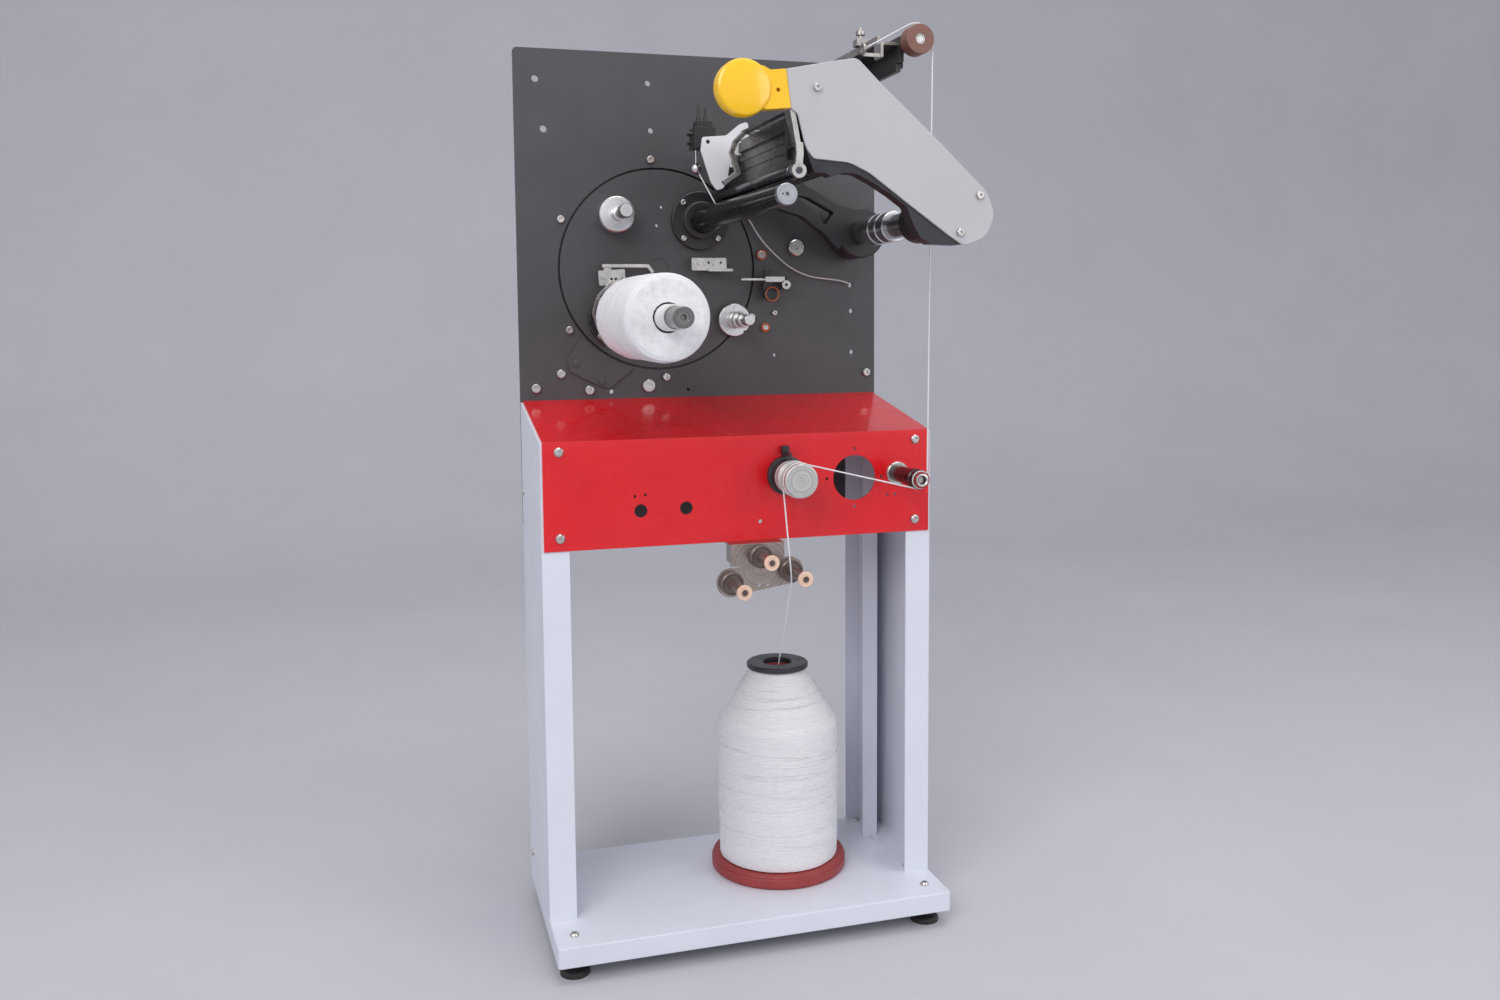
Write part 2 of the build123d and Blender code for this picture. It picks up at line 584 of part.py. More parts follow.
# ---- turret and its drive ----
def gear_face(teeth, pitch, tooth_at, bore):
    """A spur gear whose straight flanks lean 20 degrees, with one tooth at the angle tooth_at."""
    addendum = 0.8 * GEAR_MODULE
    dedendum = 1.1 * GEAR_MODULE
    half = pi / (2 * teeth) - GEAR_BACKLASH / 2 / pitch
    lean = tan(radians(20.0)) / pitch
    corners = ((-half - dedendum * lean, pitch - dedendum), (-half + addendum * lean, pitch + addendum),
               (half - addendum * lean, pitch + addendum), (half + dedendum * lean, pitch - dedendum))
    points = []
    for tooth in range(teeth):
        middle = radians(tooth_at) + 2 * pi * tooth / teeth
        points += [(radius * cos(middle + shift), radius * sin(middle + shift)) for shift, radius in corners]
    return make_face(Polyline(*points, close=True)) - Circle(bore)


def make_turret_disc():
    spigot = SPIGOT_RADIUS - RUN_GAP
    inside = SPIGOT_RADIUS - SPIGOT_WALL
    disc = turned_y(TURRET_X, TURRET_Z,
                    [(0, PANEL_FRONT_Y), (TURRET_RADIUS, PANEL_FRONT_Y), (TURRET_RADIUS, TURRET_REAR_Y),
                     (spigot, TURRET_REAR_Y), (spigot, GEAR_FRONT_Y), (inside, GEAR_FRONT_Y),
                     (inside, TURRET_REAR_Y), (0, TURRET_REAR_Y)])
    cuts = [rod_y(TURRET_X, TURRET_Z, PLUG_RADIUS, PANEL_FRONT_Y - 1, PANEL_REAR_Y + 1)]
    for x, z in ((WINDING_X, WINDING_Z), (DOFF_X, DOFF_Z)):
        cuts.append(rod_y(x, z, SPINDLE_HOUSING_RADIUS + RUN_GAP, PANEL_FRONT_Y - 1, PANEL_REAR_Y + 1))
    for x, z in spindle_screw_places():
        cuts.append(rod_y(x, z, PANEL_SCREW_SHANK + RUN_GAP, PANEL_FRONT_Y - 1, PANEL_REAR_Y + 1))
    for x, z, radius in TURRET_HOLES:
        cuts.append(rod_y(x, z, radius, PANEL_FRONT_Y - 1, PANEL_REAR_Y + 1))
    return disc - cuts


TURRET_HOLES = ((-79.6, 1295.0, 3.0), (-88.7, 1260.5, 3.0))


def spindle_screw_places():
    spots = []
    for x, z in ((WINDING_X, WINDING_Z), (DOFF_X, DOFF_Z)):
        spots += around(x, z, SPINDLE_SCREW_CIRCLE / 2, 4, 45.0)
    return spots


def make_turret_ring():
    ring = turned_y(TURRET_X, TURRET_Z,
                    [(SPIGOT_RADIUS, PANEL_REAR_Y), (RING_RADIUS, PANEL_REAR_Y), (RING_RADIUS, RING_REAR_Y - 3),
                     (RING_RADIUS - 3, RING_REAR_Y), (SPIGOT_RADIUS, RING_REAR_Y)])
    for x, z in ring_screw_places():
        ring -= rod_y(x, z, PANEL_SCREW_SHANK + RUN_GAP, PANEL_REAR_Y - 1, PANEL_REAR_Y + 14)
    return ring


def make_turret_gear():
    face = gear_face(GEAR_TEETH, GEAR_PITCH, PINION_ANGLE, SPIGOT_RADIUS - SPIGOT_WALL)
    return slab_y(Pos(TURRET_X, TURRET_Z) * face, GEAR_FRONT_Y, GEAR_REAR_Y)


def make_index_pinion():
    face = gear_face(PINION_TEETH, PINION_PITCH, PINION_ANGLE + 180.0 + 180.0 / PINION_TEETH, 0.5)
    wheel = slab_y(Pos(PINION_X, PINION_Z) * face, GEAR_FRONT_Y, GEAR_REAR_Y)
    hub = rod_y(PINION_X, PINION_Z, PINION_BORE + 6, GEAR_REAR_Y - 1, MOTOR_PLATE_Y - FACE_GAP)
    shaft = rod_y(PINION_X, PINION_Z, PINION_BORE, GEAR_FRONT_Y, GEAR_REAR_Y + 40)
    return wheel + hub + shaft


MOTOR_PLATE_Y = GEAR_REAR_Y + 5
PLATE_INNER = GEAR_PITCH + PINION_PITCH - MOTOR_HALF - 3
PLATE_OUTER = GEAR_PITCH + PINION_PITCH + MOTOR_HALF + 18
PLATE_HALF = MOTOR_HALF + 14
MOTOR_POST_REACH = (RING_RADIUS + MOTOR_POST_RADIUS + 4, PLATE_OUTER - MOTOR_POST_RADIUS - 4)


def at_pinion(shape):
    """Turns a shape drawn along +X from the turret's centre towards the pinion."""
    return Pos(TURRET_X, 0, TURRET_Z) * Rot(0, -PINION_ANGLE, 0) * shape


def make_index_motor():
    centre = GEAR_PITCH + PINION_PITCH
    plate = block(PLATE_INNER, PLATE_OUTER, MOTOR_PLATE_Y, MOTOR_PLATE_Y + MOTOR_PLATE, -PLATE_HALF, PLATE_HALF)
    for reach in MOTOR_POST_REACH:
        for side in (-1, 1):
            post_z = side * (PLATE_HALF - MOTOR_POST_RADIUS - 3)
            plate += rod_y(reach, post_z, MOTOR_POST_RADIUS, PANEL_REAR_Y, MOTOR_PLATE_Y + 1)
    plate -= rod_y(centre, 0, PINION_BORE + RUN_GAP, MOTOR_PLATE_Y - 1, MOTOR_PLATE_Y + MOTOR_PLATE + 1)
    motor_front = MOTOR_PLATE_Y + MOTOR_PLATE
    body_sketch = Pos(centre, 0) * RectangleRounded(2 * MOTOR_HALF, 2 * MOTOR_HALF, 9)
    body = slab_y(body_sketch, motor_front, motor_front + 14)
    body += rod_y(centre, 0, MOTOR_HALF - 2, motor_front + 14, motor_front + MOTOR_LENGTH)
    body -= rod_y(centre, 0, PINION_BORE + RUN_GAP, motor_front - 1, motor_front + 32)
    return [at_pinion(plate), at_pinion(body)]


def make_centre_plug():
    rim = PLUG_RADIUS - RUN_GAP
    return turned_y(TURRET_X, TURRET_Z, [(0, PANEL_FRONT_Y), (rim - 0.8, PANEL_FRONT_Y), (rim, PANEL_FRONT_Y + 0.8),
                                         (rim, TURRET_REAR_Y), (0, TURRET_REAR_Y)])


def spindle_flange(x, z):
    bore = SPINDLE_SHAFT_RADIUS + RUN_GAP
    flange = SPINDLE_FLANGE_RADIUS
    hub = SPINDLE_HUB_RADIUS
    housing = SPINDLE_HOUSING_RADIUS
    body = turned_y(x, z, [(bore, HUB_FRONT_Y), (hub - 2, HUB_FRONT_Y), (hub, HUB_FRONT_Y + 2), (hub, FLANGE_FRONT_Y),
                           (flange - 1.5, FLANGE_FRONT_Y), (flange, FLANGE_FRONT_Y + 1.5), (flange, PANEL_FRONT_Y),
                           (housing, PANEL_FRONT_Y), (housing, HOUSING_REAR_Y), (bore, HOUSING_REAR_Y)])
    for sx, sz in around(x, z, SPINDLE_SCREW_CIRCLE / 2, 4, 45.0):
        body -= rod_y(sx, sz, PANEL_SCREW_SHANK + RUN_GAP, FLANGE_FRONT_Y - 1, PANEL_FRONT_Y + 1)
    return body


def make_spindle_flanges():
    return [spindle_flange(WINDING_X, WINDING_Z), spindle_flange(DOFF_X, DOFF_Z)]


def make_turret_screws():
    length = SPINDLE_FLANGE_THICK + PANEL_THICK - 1
    return [socket_screw(x, z, FLANGE_FRONT_Y, 5.5, 5.0, PANEL_SCREW_SHANK, length)
            for x, z in spindle_screw_places()]


def make_spindle_motors():
    motors = []
    for x, z in ((WINDING_X, WINDING_Z), (DOFF_X, DOFF_Z)):
        rear = HOUSING_REAR_Y + SPINDLE_MOTOR_LENGTH
        bore = SPINDLE_SHAFT_RADIUS + RUN_GAP
        motors.append(turned_y(x, z, [(bore, HOUSING_REAR_Y), (SPINDLE_MOTOR_RADIUS, HOUSING_REAR_Y),
                                      (SPINDLE_MOTOR_RADIUS, HOUSING_REAR_Y + 12),
                                      (SPINDLE_MOTOR_RADIUS - 4, HOUSING_REAR_Y + 12),
                                      (SPINDLE_MOTOR_RADIUS - 4, rear - 4), (SPINDLE_MOTOR_RADIUS - 8, rear),
                                      (0, rear), (0, HOUSING_REAR_Y + 42), (bore, HOUSING_REAR_Y + 42)]))
    return motors


def make_turret_bosses():
    radius = UPPER_BOSS_RADIUS
    front = UPPER_BOSS_FRONT_Y
    upper = turned_y(UPPER_BOSS_X, UPPER_BOSS_Z,
                     [(0, PANEL_FRONT_Y), (radius, PANEL_FRONT_Y), (radius, front), (radius - 2, front - 2),
                      (13, front - 5), (13, front - 30), (10, front - 31), (10, 96), (12, 95), (12, 52), (11, 50),
                      (0, 50)])
    rear = PANEL_FRONT_Y - LOWER_BOSS_STAND_OFF
    face = rear - LOWER_BOSS_THICK
    lower = turned_y(LOWER_BOSS_X, LOWER_BOSS_Z,
                     [(0, PANEL_FRONT_Y), (11, PANEL_FRONT_Y), (11, rear), (LOWER_BOSS_RADIUS, rear),
                      (LOWER_BOSS_RADIUS, face + 1), (LOWER_BOSS_RADIUS - 1, face), (16, face), (16, 138), (14, 137),
                      (14, 134), (16, 133), (16, 114), (13, 113), (13, 90), (10, 89), (10, 59), (9, 58), (0, 58)])
    notch = block(LOWER_BOSS_X + 17, LOWER_BOSS_X + 26, face - 1, rear + 1, LOWER_BOSS_Z - 30, LOWER_BOSS_Z - 20)
    return [upper, lower - notch]


BRACKET_FRONT_Y = 160.0
BRACKET_SHEET = 3.0
LEFT_BRACKET_ROUTE = ((-198.0, 1184.0), (-112.0, 1184.0), (-103.0, 1172.0))
LEFT_HOOK_ROUTE = ((-180.0, 1156.0), (-206.0, 1128.0), (-216.0, 1098.0), (-208.0, 1070.0), (-197.0, 1051.0))
RIGHT_STRIP_ROUTE = ((4.0, 1177.0), (52.0, 1177.0))


def make_finger_brackets():
    front = BRACKET_FRONT_Y
    back = front + BRACKET_SHEET
    left = slab_y(Pos(-179, 1163) * Rot(0, 0, 4) * RectangleRounded(50, 28, 3), front, back)
    left += slab_y(ribbon(LEFT_BRACKET_ROUTE, 6), front - 6, back)
    left += slab_y(Pos(-187, 1178) * Rectangle(14, 12), front, back)
    left += slab_y(ribbon(LEFT_HOOK_ROUTE, 5), front - 5, front + 1)
    right = slab_y(Pos(7, 1188) * RectangleRounded(68, 24, 3), front, back)
    right += slab_y(ribbon(RIGHT_STRIP_ROUTE, 5), front - 6, back)
    for x in (-193.0, -166.0):
        left += rod_y(x, 1163, 4, back, PANEL_FRONT_Y)
    for x in (-11.5, 17.8):
        left_post = rod_y(x, 1190, 4, back, PANEL_FRONT_Y)
        right += left_post
    for x in (-180.0, -172.0, -160.0):
        left -= rod_y(x, 1160, 2.2, front - 1, back + 1)
    for x in (6.1, 29.6):
        right -= rod_y(x, 1191, 2.2, front - 1, back + 1)
    heads = [rod_y(x, 1163, 4.5, front - 3.5, front) for x in (-193.0, -166.0)]
    heads += [rod_y(x, 1190, 4.5, front - 3.5, front) for x in (-11.5, 17.8)]
    return [left, right] + heads


# ---- spindles and the wound package ----
def spindle(x, z):
    """Shaft, tapered chuck and front cap of one spindle."""
    shaft = SPINDLE_SHAFT_RADIUS
    start = HUB_FRONT_Y - FACE_GAP
    body = turned_y(x, z, [(0, HOUSING_REAR_Y + 40), (shaft, HOUSING_REAR_Y + 40), (shaft, start),
                           (MANDREL_REAR_RADIUS + 1.5, start), (MANDREL_REAR_RADIUS + 1.5, MANDREL_REAR_Y + 2),
                           (MANDREL_REAR_RADIUS, MANDREL_REAR_Y), (MANDREL_FRONT_RADIUS, MANDREL_FRONT_Y),
                           (0, MANDREL_FRONT_Y)])
    return body


def make_winding_mandrel():
    return spindle(WINDING_X, WINDING_Z)


def make_mandrel_cap():
    front = MANDREL_FRONT_Y - MANDREL_CAP
    cap = turned_y(WINDING_X, WINDING_Z,
                   [(0, MANDREL_FRONT_Y), (MANDREL_FRONT_RADIUS, MANDREL_FRONT_Y), (MANDREL_FRONT_RADIUS, front + 1),
                    (MANDREL_FRONT_RADIUS - 1, front), (2.6, front), (2.6, front + 8), (0, front + 8)])
    return cap - rod_y(WINDING_X - 7, WINDING_Z, 1.5, front - 1, front + 5)


def make_doff_spindle():
    front = MANDREL_FRONT_Y - MANDREL_CAP
    rim = MANDREL_FRONT_RADIUS
    nose = turned_y(DOFF_X, DOFF_Z, [(0, MANDREL_FRONT_Y), (rim, MANDREL_FRONT_Y), (rim, front + 1),
                                     (rim - 1, front), (9, front), (9, front + 2), (0, front + 2)])
    socket = slab_y(Pos(DOFF_X, DOFF_Z) * RegularPolygon(5, 6), front - 1, front + 9)
    return spindle(DOFF_X, DOFF_Z) + (nose - socket)


def make_package_tube():
    def inner(y):
        return chuck_radius(y) + TUBE_FIT

    return turned_y(DOFF_X, DOFF_Z, [(inner(TUBE_REAR_Y), TUBE_REAR_Y), (inner(TUBE_REAR_Y) + TUBE_WALL, TUBE_REAR_Y),
                                     (inner(TUBE_FRONT_Y) + TUBE_WALL, TUBE_FRONT_Y),
                                     (inner(TUBE_FRONT_Y), TUBE_FRONT_Y)])


def make_package_yarn():
    def bore(y):
        return chuck_radius(y) + TUBE_FIT + TUBE_WALL + RUN_GAP

    front = PACKAGE_FRONT_Y
    rear = PACKAGE_REAR_Y
    outer = PACKAGE_RADIUS
    return turned_y(DOFF_X, DOFF_Z, [(bore(rear), rear), (outer - 9, rear), (outer - 2.5, rear - 3),
                                     (outer, rear - 10), (outer, front + 10), (outer - 2.5, front + 3),
                                     (outer - 9, front), (bore(front), front)])


# ---- swing arm ----
PIVOT_FRONT_Y = CASTING_REAR_Y - 12.0
FLANGE_SCREW_CIRCLE = 54.0


def make_pivot_shaft():
    face = PANEL_FRONT_Y - PIVOT_FLANGE_THICK
    shaft = turned_y(PIVOT_X, PIVOT_Z,
                     [(0, PANEL_REAR_Y + 24), (PIVOT_RADIUS, PANEL_REAR_Y + 24), (PIVOT_RADIUS, PANEL_FRONT_Y),
                      (PIVOT_FLANGE_RADIUS, PANEL_FRONT_Y), (PIVOT_FLANGE_RADIUS, face + 2),
                      (PIVOT_FLANGE_RADIUS - 2, face), (PIVOT_RADIUS, face), (PIVOT_RADIUS, PIVOT_FRONT_Y),
                      (0, PIVOT_FRONT_Y)])
    nut = turned_y(PIVOT_X, PIVOT_Z, [(PIVOT_RADIUS + RUN_GAP, PANEL_REAR_Y), (26, PANEL_REAR_Y),
                                      (26, PANEL_REAR_Y + 14), (PIVOT_RADIUS + RUN_GAP, PANEL_REAR_Y + 14)])
    return [shaft, nut]


WEB_OUTLINE = ((283.0, 1290.0), (245.0, 1300.0), (176.0, 1338.0), (135.0, 1392.0), (25.0, 1392.0), (14.0, 1330.0),
               (8.0, 1318.0), (8.0, 1302.0), (20.0, 1295.0), (60.0, 1314.0), (128.0, 1290.0), (176.0, 1276.0),
               (217.0, 1246.0), (250.0, 1214.0))
WEB_CORNERS = (4.0, 30.0, 20.0, 8.0, 8.0, 6.0, 6.0, 6.0, 8.0, 10.0, 30.0, 20.0, 12.0, 4.0)
POCKET_OUTLINE = ((240.0, 1284.0), (186.0, 1312.0), (160.0, 1316.0), (204.0, 1286.0), (220.0, 1258.0))


def make_arm_rear_casting():
    bore = PIVOT_RADIUS + RUN_GAP
    rear = PANEL_FRONT_Y - PIVOT_FLANGE_THICK - FACE_GAP
    casting = slab_y(outline(WEB_OUTLINE, WEB_CORNERS), ARM_WEB_FRONT_Y, ARM_WEB_REAR_Y)
    casting -= slab_y(outline(POCKET_OUTLINE, (4, 4, 2, 4, 4)), ARM_WEB_FRONT_Y - 1, ARM_WEB_REAR_Y + 1)
    casting += turned_y(PIVOT_X, PIVOT_Z, [(0, rear), (ARM_HUB_RADIUS - 3, rear), (ARM_HUB_RADIUS, rear - 3),
                                           (ARM_HUB_RADIUS, ARM_WEB_FRONT_Y + 3),
                                           (ARM_HUB_RADIUS - 3, ARM_WEB_FRONT_Y), (0, ARM_WEB_FRONT_Y)])
    casting -= rod_y(PIVOT_X, PIVOT_Z, bore, ARM_WEB_FRONT_Y - 1, rear + 1)
    return casting - rod_y(ROLLER_X, ROLLER_Z, ROLLER_PIN_RADIUS + RUN_GAP, ARM_WEB_FRONT_Y - 1, ARM_WEB_REAR_Y + 1)


def make_arm_tube():
    """The tube on the pivot, with its turned rings."""
    bore = PIVOT_RADIUS + RUN_GAP
    thin = ARM_TUBE_RADIUS
    thick = ARM_RING_RADIUS
    middle = (ARM_RING_REAR_Y + ARM_RING_FRONT_Y) / 2
    return turned_y(PIVOT_X, PIVOT_Z,
                    [(bore, ARM_WEB_FRONT_Y), (thin - 4, ARM_WEB_FRONT_Y), (thin - 4, ARM_WEB_FRONT_Y - 8),
                     (thin, ARM_WEB_FRONT_Y - 8), (thin, ARM_RING_REAR_Y), (thick - 2, ARM_RING_REAR_Y),
                     (thick, ARM_RING_REAR_Y - 2), (thick, middle + 14), (thick - 3, middle + 13),
                     (thick - 3, middle + 7), (thick, middle + 6), (thick, middle - 20), (thick - 3, middle - 21),
                     (thick - 3, middle - 27), (thick, middle - 28), (thick, ARM_RING_FRONT_Y + 2),
                     (thick - 2, ARM_RING_FRONT_Y), (thin, ARM_RING_FRONT_Y), (thin, FRONT_BOSS_REAR_Y),
                     (bore, FRONT_BOSS_REAR_Y)])


CASTING_OUTLINE = ((46.0, 1306.0), (64.0, 1306.0), (74.0, 1300.5), (94.0, 1307.0), (115.0, 1306.0),
                   (140.0, 1294.5), (173.0, 1275.0), (199.0, 1257.0), (211.0, 1229.5), (222.0, 1210.0),
                   (240.0, 1200.0), (292.0, 1199.0), (330.0, 1222.0), (338.0, 1256.0), (300.0, 1300.0),
                   (192.0, 1400.0), (126.0, 1456.0), (30.0, 1450.0), (26.0, 1380.0), (34.0, 1340.0))
CASTING_CORNERS = (3, 2, 4, 4, 12, 20, 12, 10, 10, 8, 8, 14, 16, 16, 30, 30, 12, 6, 8, 6)
CASTING_POCKET = ((80.0, 1340.0), (150.0, 1330.0), (230.0, 1275.0), (255.0, 1290.0), (180.0, 1370.0),
                  (120.0, 1420.0), (60.0, 1425.0), (50.0, 1380.0))


def make_arm_front_casting():
    bore = PIVOT_RADIUS + RUN_GAP
    casting = slab_y(outline(CASTING_OUTLINE, CASTING_CORNERS), CASTING_FRONT_Y, CASTING_REAR_Y)
    casting -= slab_y(outline(CASTING_POCKET, 10), CASTING_FRONT_Y - 1, CASTING_REAR_Y - 8)
    casting += turned_y(PIVOT_X, PIVOT_Z, [(0, CASTING_REAR_Y - 1), (FRONT_BOSS_RADIUS, CASTING_REAR_Y - 1),
                                           (FRONT_BOSS_RADIUS - 4, FRONT_BOSS_REAR_Y + 2),
                                           (FRONT_BOSS_RADIUS - 6, FRONT_BOSS_REAR_Y), (0, FRONT_BOSS_REAR_Y)])
    for x, z in COVER_SCREWS:
        casting -= rod_y(x, z, PANEL_SCREW_SHANK + RUN_GAP, CASTING_FRONT_Y - 1, CASTING_FRONT_Y + 12)
    casting -= rod_y(PIVOT_X, PIVOT_Z, bore, PIVOT_FRONT_Y - FACE_GAP, FRONT_BOSS_REAR_Y + 1)
    return casting


COVER_OUTLINE = ((0.6, 1458.0), (70.7, 1472.0), (115.0, 1480.0), (153.8, 1443.6), (253.0, 1358.0),
                 (335.0, 1283.0), (350.0, 1248.0), (335.0, 1211.0), (296.0, 1197.0), (270.0, 1213.0),
                 (203.0, 1259.5), (136.0, 1307.0), (103.0, 1322.0), (44.6, 1326.5), (32.0, 1342.0),
                 (19.0, 1393.0), (8.0, 1400.0))
COVER_CORNERS = (3, 60, 16, 60, 200, 34, 34, 34, 20, 30, 200, 60, 50, 10, 40, 12, 3)


def make_arm_cover():
    cover = slab_y(outline(COVER_OUTLINE, COVER_CORNERS), COVER_FRONT_Y, CASTING_FRONT_Y)
    front_edges = cover.edges().filter_by_position(Axis.Y, COVER_FRONT_Y - 0.01, COVER_FRONT_Y + 0.01)
    cover = chamfer(front_edges, COVER_THICK * 0.2)
    for x, z in COVER_SCREWS:
        cover -= rod_y(x, z, PANEL_SCREW_SHANK + RUN_GAP, COVER_FRONT_Y - 1, CASTING_FRONT_Y + 1)
    return cover


def make_arm_screws():
    return [socket_screw(x, z, COVER_FRONT_Y, COVER_SCREW_RADIUS, 5.0, PANEL_SCREW_SHANK, COVER_THICK + 10)
            for x, z in COVER_SCREWS]


CAP_TAB = ((-58.0, 1404.0), (-30.0, 1396.5), (7.6, 1400.2), (0.2, 1458.0), (-24.0, 1455.0), (-34.0, 1460.0),
           (-58.0, 1465.0))
CAP_SCREW_X = -12.2
CAP_SCREW_Z = 1426.0


def make_arm_cap():
    """A domed cap with a tab that runs to the cover's end."""
    front = COVER_FRONT_Y - 6
    rear = front + CAP_DEPTH
    radius = CAP_RADIUS
    cap = turned_y(CAP_X, CAP_Z, [(0, rear), (radius, rear), (radius, front + 6), (radius - 1.8, front + 2),
                                  (radius - 6, front), (0, front)])
    tab = slab_y(outline(CAP_TAB, (3, 10, 2, 2, 8, 8, 3)), front + 4, rear)
    tongue = block(CAP_SCREW_X, 27.2, CASTING_FRONT_Y + 2, rear, 1410, 1426)
    cap = cap + tab + tongue
    return cap - rod_y(CAP_SCREW_X, CAP_SCREW_Z, PANEL_SCREW_SHANK + RUN_GAP, front - 1, rear - 8)


# ---- traverse, guides and contact roller ----
RAIL_DEPTH = 6.0
PLATE_FRONT_Y = 20.0
END_PLATE = 6.0
END_PLATE_LEFT = 10.0
ROLLER_REAR_Y = ARM_WEB_FRONT_Y - 0.5
ROLLER_FRONT_Y = COVER_FRONT_Y + 8.5


def make_traverse_box():
    inner = (BOX_LEFT + BOX_WALL, BOX_RIGHT - BOX_WALL, CASTING_REAR_Y + END_PLATE, ARM_WEB_FRONT_Y - BOX_WALL,
             BOX_BOTTOM + BOX_WALL, BOX_TOP - BOX_WALL)
    box = block(BOX_LEFT, BOX_RIGHT, CASTING_REAR_Y, ARM_WEB_FRONT_Y, BOX_BOTTOM, BOX_TOP) - block(*inner)
    box += block(END_PLATE_LEFT, BOX_LEFT + 1, CASTING_REAR_Y, CASTING_REAR_Y + END_PLATE, BOX_BOTTOM + 6, BOX_TOP)
    for z in (BOX_BOTTOM + 16, BOX_BOTTOM + 32):
        box -= block(BOX_LEFT - 1, BOX_LEFT + BOX_WALL * 0.4, CASTING_REAR_Y + 14, PLATE_FRONT_Y - 6, z, z + 6)
    rail = block(BOX_LEFT - RAIL_DEPTH, BOX_LEFT, CASTING_REAR_Y + END_PLATE, PLATE_FRONT_Y, SLOT_BOTTOM, SLOT_TOP)
    return [box, rail]


def make_traverse_guide():
    half = GUIDE_LENGTH / 2
    left = BOX_LEFT - RAIL_DEPTH - 5
    carriage = block(left, BOX_LEFT - FACE_GAP, GUIDE_REAR_Y - half, GUIDE_REAR_Y + half, SLOT_BOTTOM - 4,
                     SLOT_TOP + 4)
    carriage -= block(BOX_LEFT - RAIL_DEPTH - RUN_GAP, BOX_LEFT + 1, GUIDE_REAR_Y - half - 1,
                      GUIDE_REAR_Y + half + 1, SLOT_BOTTOM - RUN_GAP, SLOT_TOP + RUN_GAP)
    finger = block(left - 8, left + 2, GUIDE_REAR_Y - 1.5, GUIDE_REAR_Y + 1.5, SLOT_BOTTOM - 24, SLOT_BOTTOM + 2)
    eye = rod_y(left - 4, SLOT_BOTTOM - 18, 2.0, GUIDE_REAR_Y - 3, GUIDE_REAR_Y + 3)
    return carriage + finger - eye


GUIDE_PLATE_OUTLINE = ((-40.0, 1404.0), (-43.0, 1381.0), (-25.0, 1326.0), (-14.0, 1311.0), (-2.0, 1316.0),
                       (6.0, 1332.0), (10.0, 1360.0), (BOX_LEFT, 1364.0), (BOX_LEFT, BOX_TOP), (47.0, BOX_TOP),
                       (44.0, 1434.0), (28.0, 1428.0), (4.0, 1408.0))
GUIDE_PLATE_CORNERS = (4, 6, 6, 7, 6, 12, 6, 0, 0, 0, 5, 8, 12)
PLATE_HOLE_X = -29.5
PLATE_HOLE_Z = 1396.0


def make_guide_plate():
    plate = slab_y(outline(GUIDE_PLATE_OUTLINE, GUIDE_PLATE_CORNERS), PLATE_FRONT_Y, PLATE_FRONT_Y + SHEET)
    return plate - rod_y(PLATE_HOLE_X, PLATE_HOLE_Z, 3.6, PLATE_FRONT_Y - 1, PLATE_FRONT_Y + SHEET + 1)


HOOK_ROUTE = ((52.0, BOX_TOP + 4), (34.0, BOX_TOP + 4), (16.0, 1404.0), (-2.0, 1386.0), (-9.0, 1369.0),
              (2.0, 1334.0), (-24.0, 1316.0))
HOOK_WIDTH = 8.0
HOOK_FRONT_Y = -64.0
HOOK_REAR_Y = -54.0


def make_guide_bracket():
    hook = slab_y(ribbon(HOOK_ROUTE, HOOK_WIDTH), HOOK_FRONT_Y, HOOK_REAR_Y)
    strip = block(10, 22, CASTING_REAR_Y, HOOK_REAR_Y, BOX_TOP + 3, BOX_TOP + 7)
    return hook + strip


END_ROUTE = ((11.0, 1403.0), (17.0, 1372.0), (21.5, 1346.0))
END_LEG_ROUTE = ((21.5, 1350.0), (22.5, 1334.0), (ROLLER_X, ROLLER_Z))


def make_end_bracket():
    upper = slab_y(ribbon(END_ROUTE, 8), CASTING_FRONT_Y, CASTING_REAR_Y)
    lower = slab_y(ribbon(END_LEG_ROUTE, 11), COVER_FRONT_Y, COVER_FRONT_Y + 8)
    boss = rod_y(ROLLER_X, ROLLER_Z, ROLLER_RADIUS - 0.5, COVER_FRONT_Y - 3, COVER_FRONT_Y + 8)
    bracket = upper + lower + boss
    return bracket - rod_y(ROLLER_X, ROLLER_Z, ROLLER_PIN_RADIUS + RUN_GAP, COVER_FRONT_Y - 4, COVER_FRONT_Y + 9)


def make_contact_roller():
    radius = ROLLER_RADIUS
    pin = ROLLER_PIN_RADIUS
    front = ROLLER_FRONT_Y
    return turned_y(ROLLER_X, ROLLER_Z,
                    [(0, ARM_WEB_REAR_Y), (pin, ARM_WEB_REAR_Y), (pin, ROLLER_REAR_Y), (radius, ROLLER_REAR_Y),
                     (radius, front + 14), (radius - 1.5, front + 13), (radius - 1.5, front + 10),
                     (radius, front + 9), (radius, front + 1), (radius - 1, front), (pin, front),
                     (pin, COVER_FRONT_Y - 5), (0, COVER_FRONT_Y - 5)])


VALVE_LEFT = -52.0
VALVE_RIGHT = -14.0
VALVE_REAR_Y = 68.0
VALVE_BOTTOM = 1386.0
VALVE_TOP = 1434.0


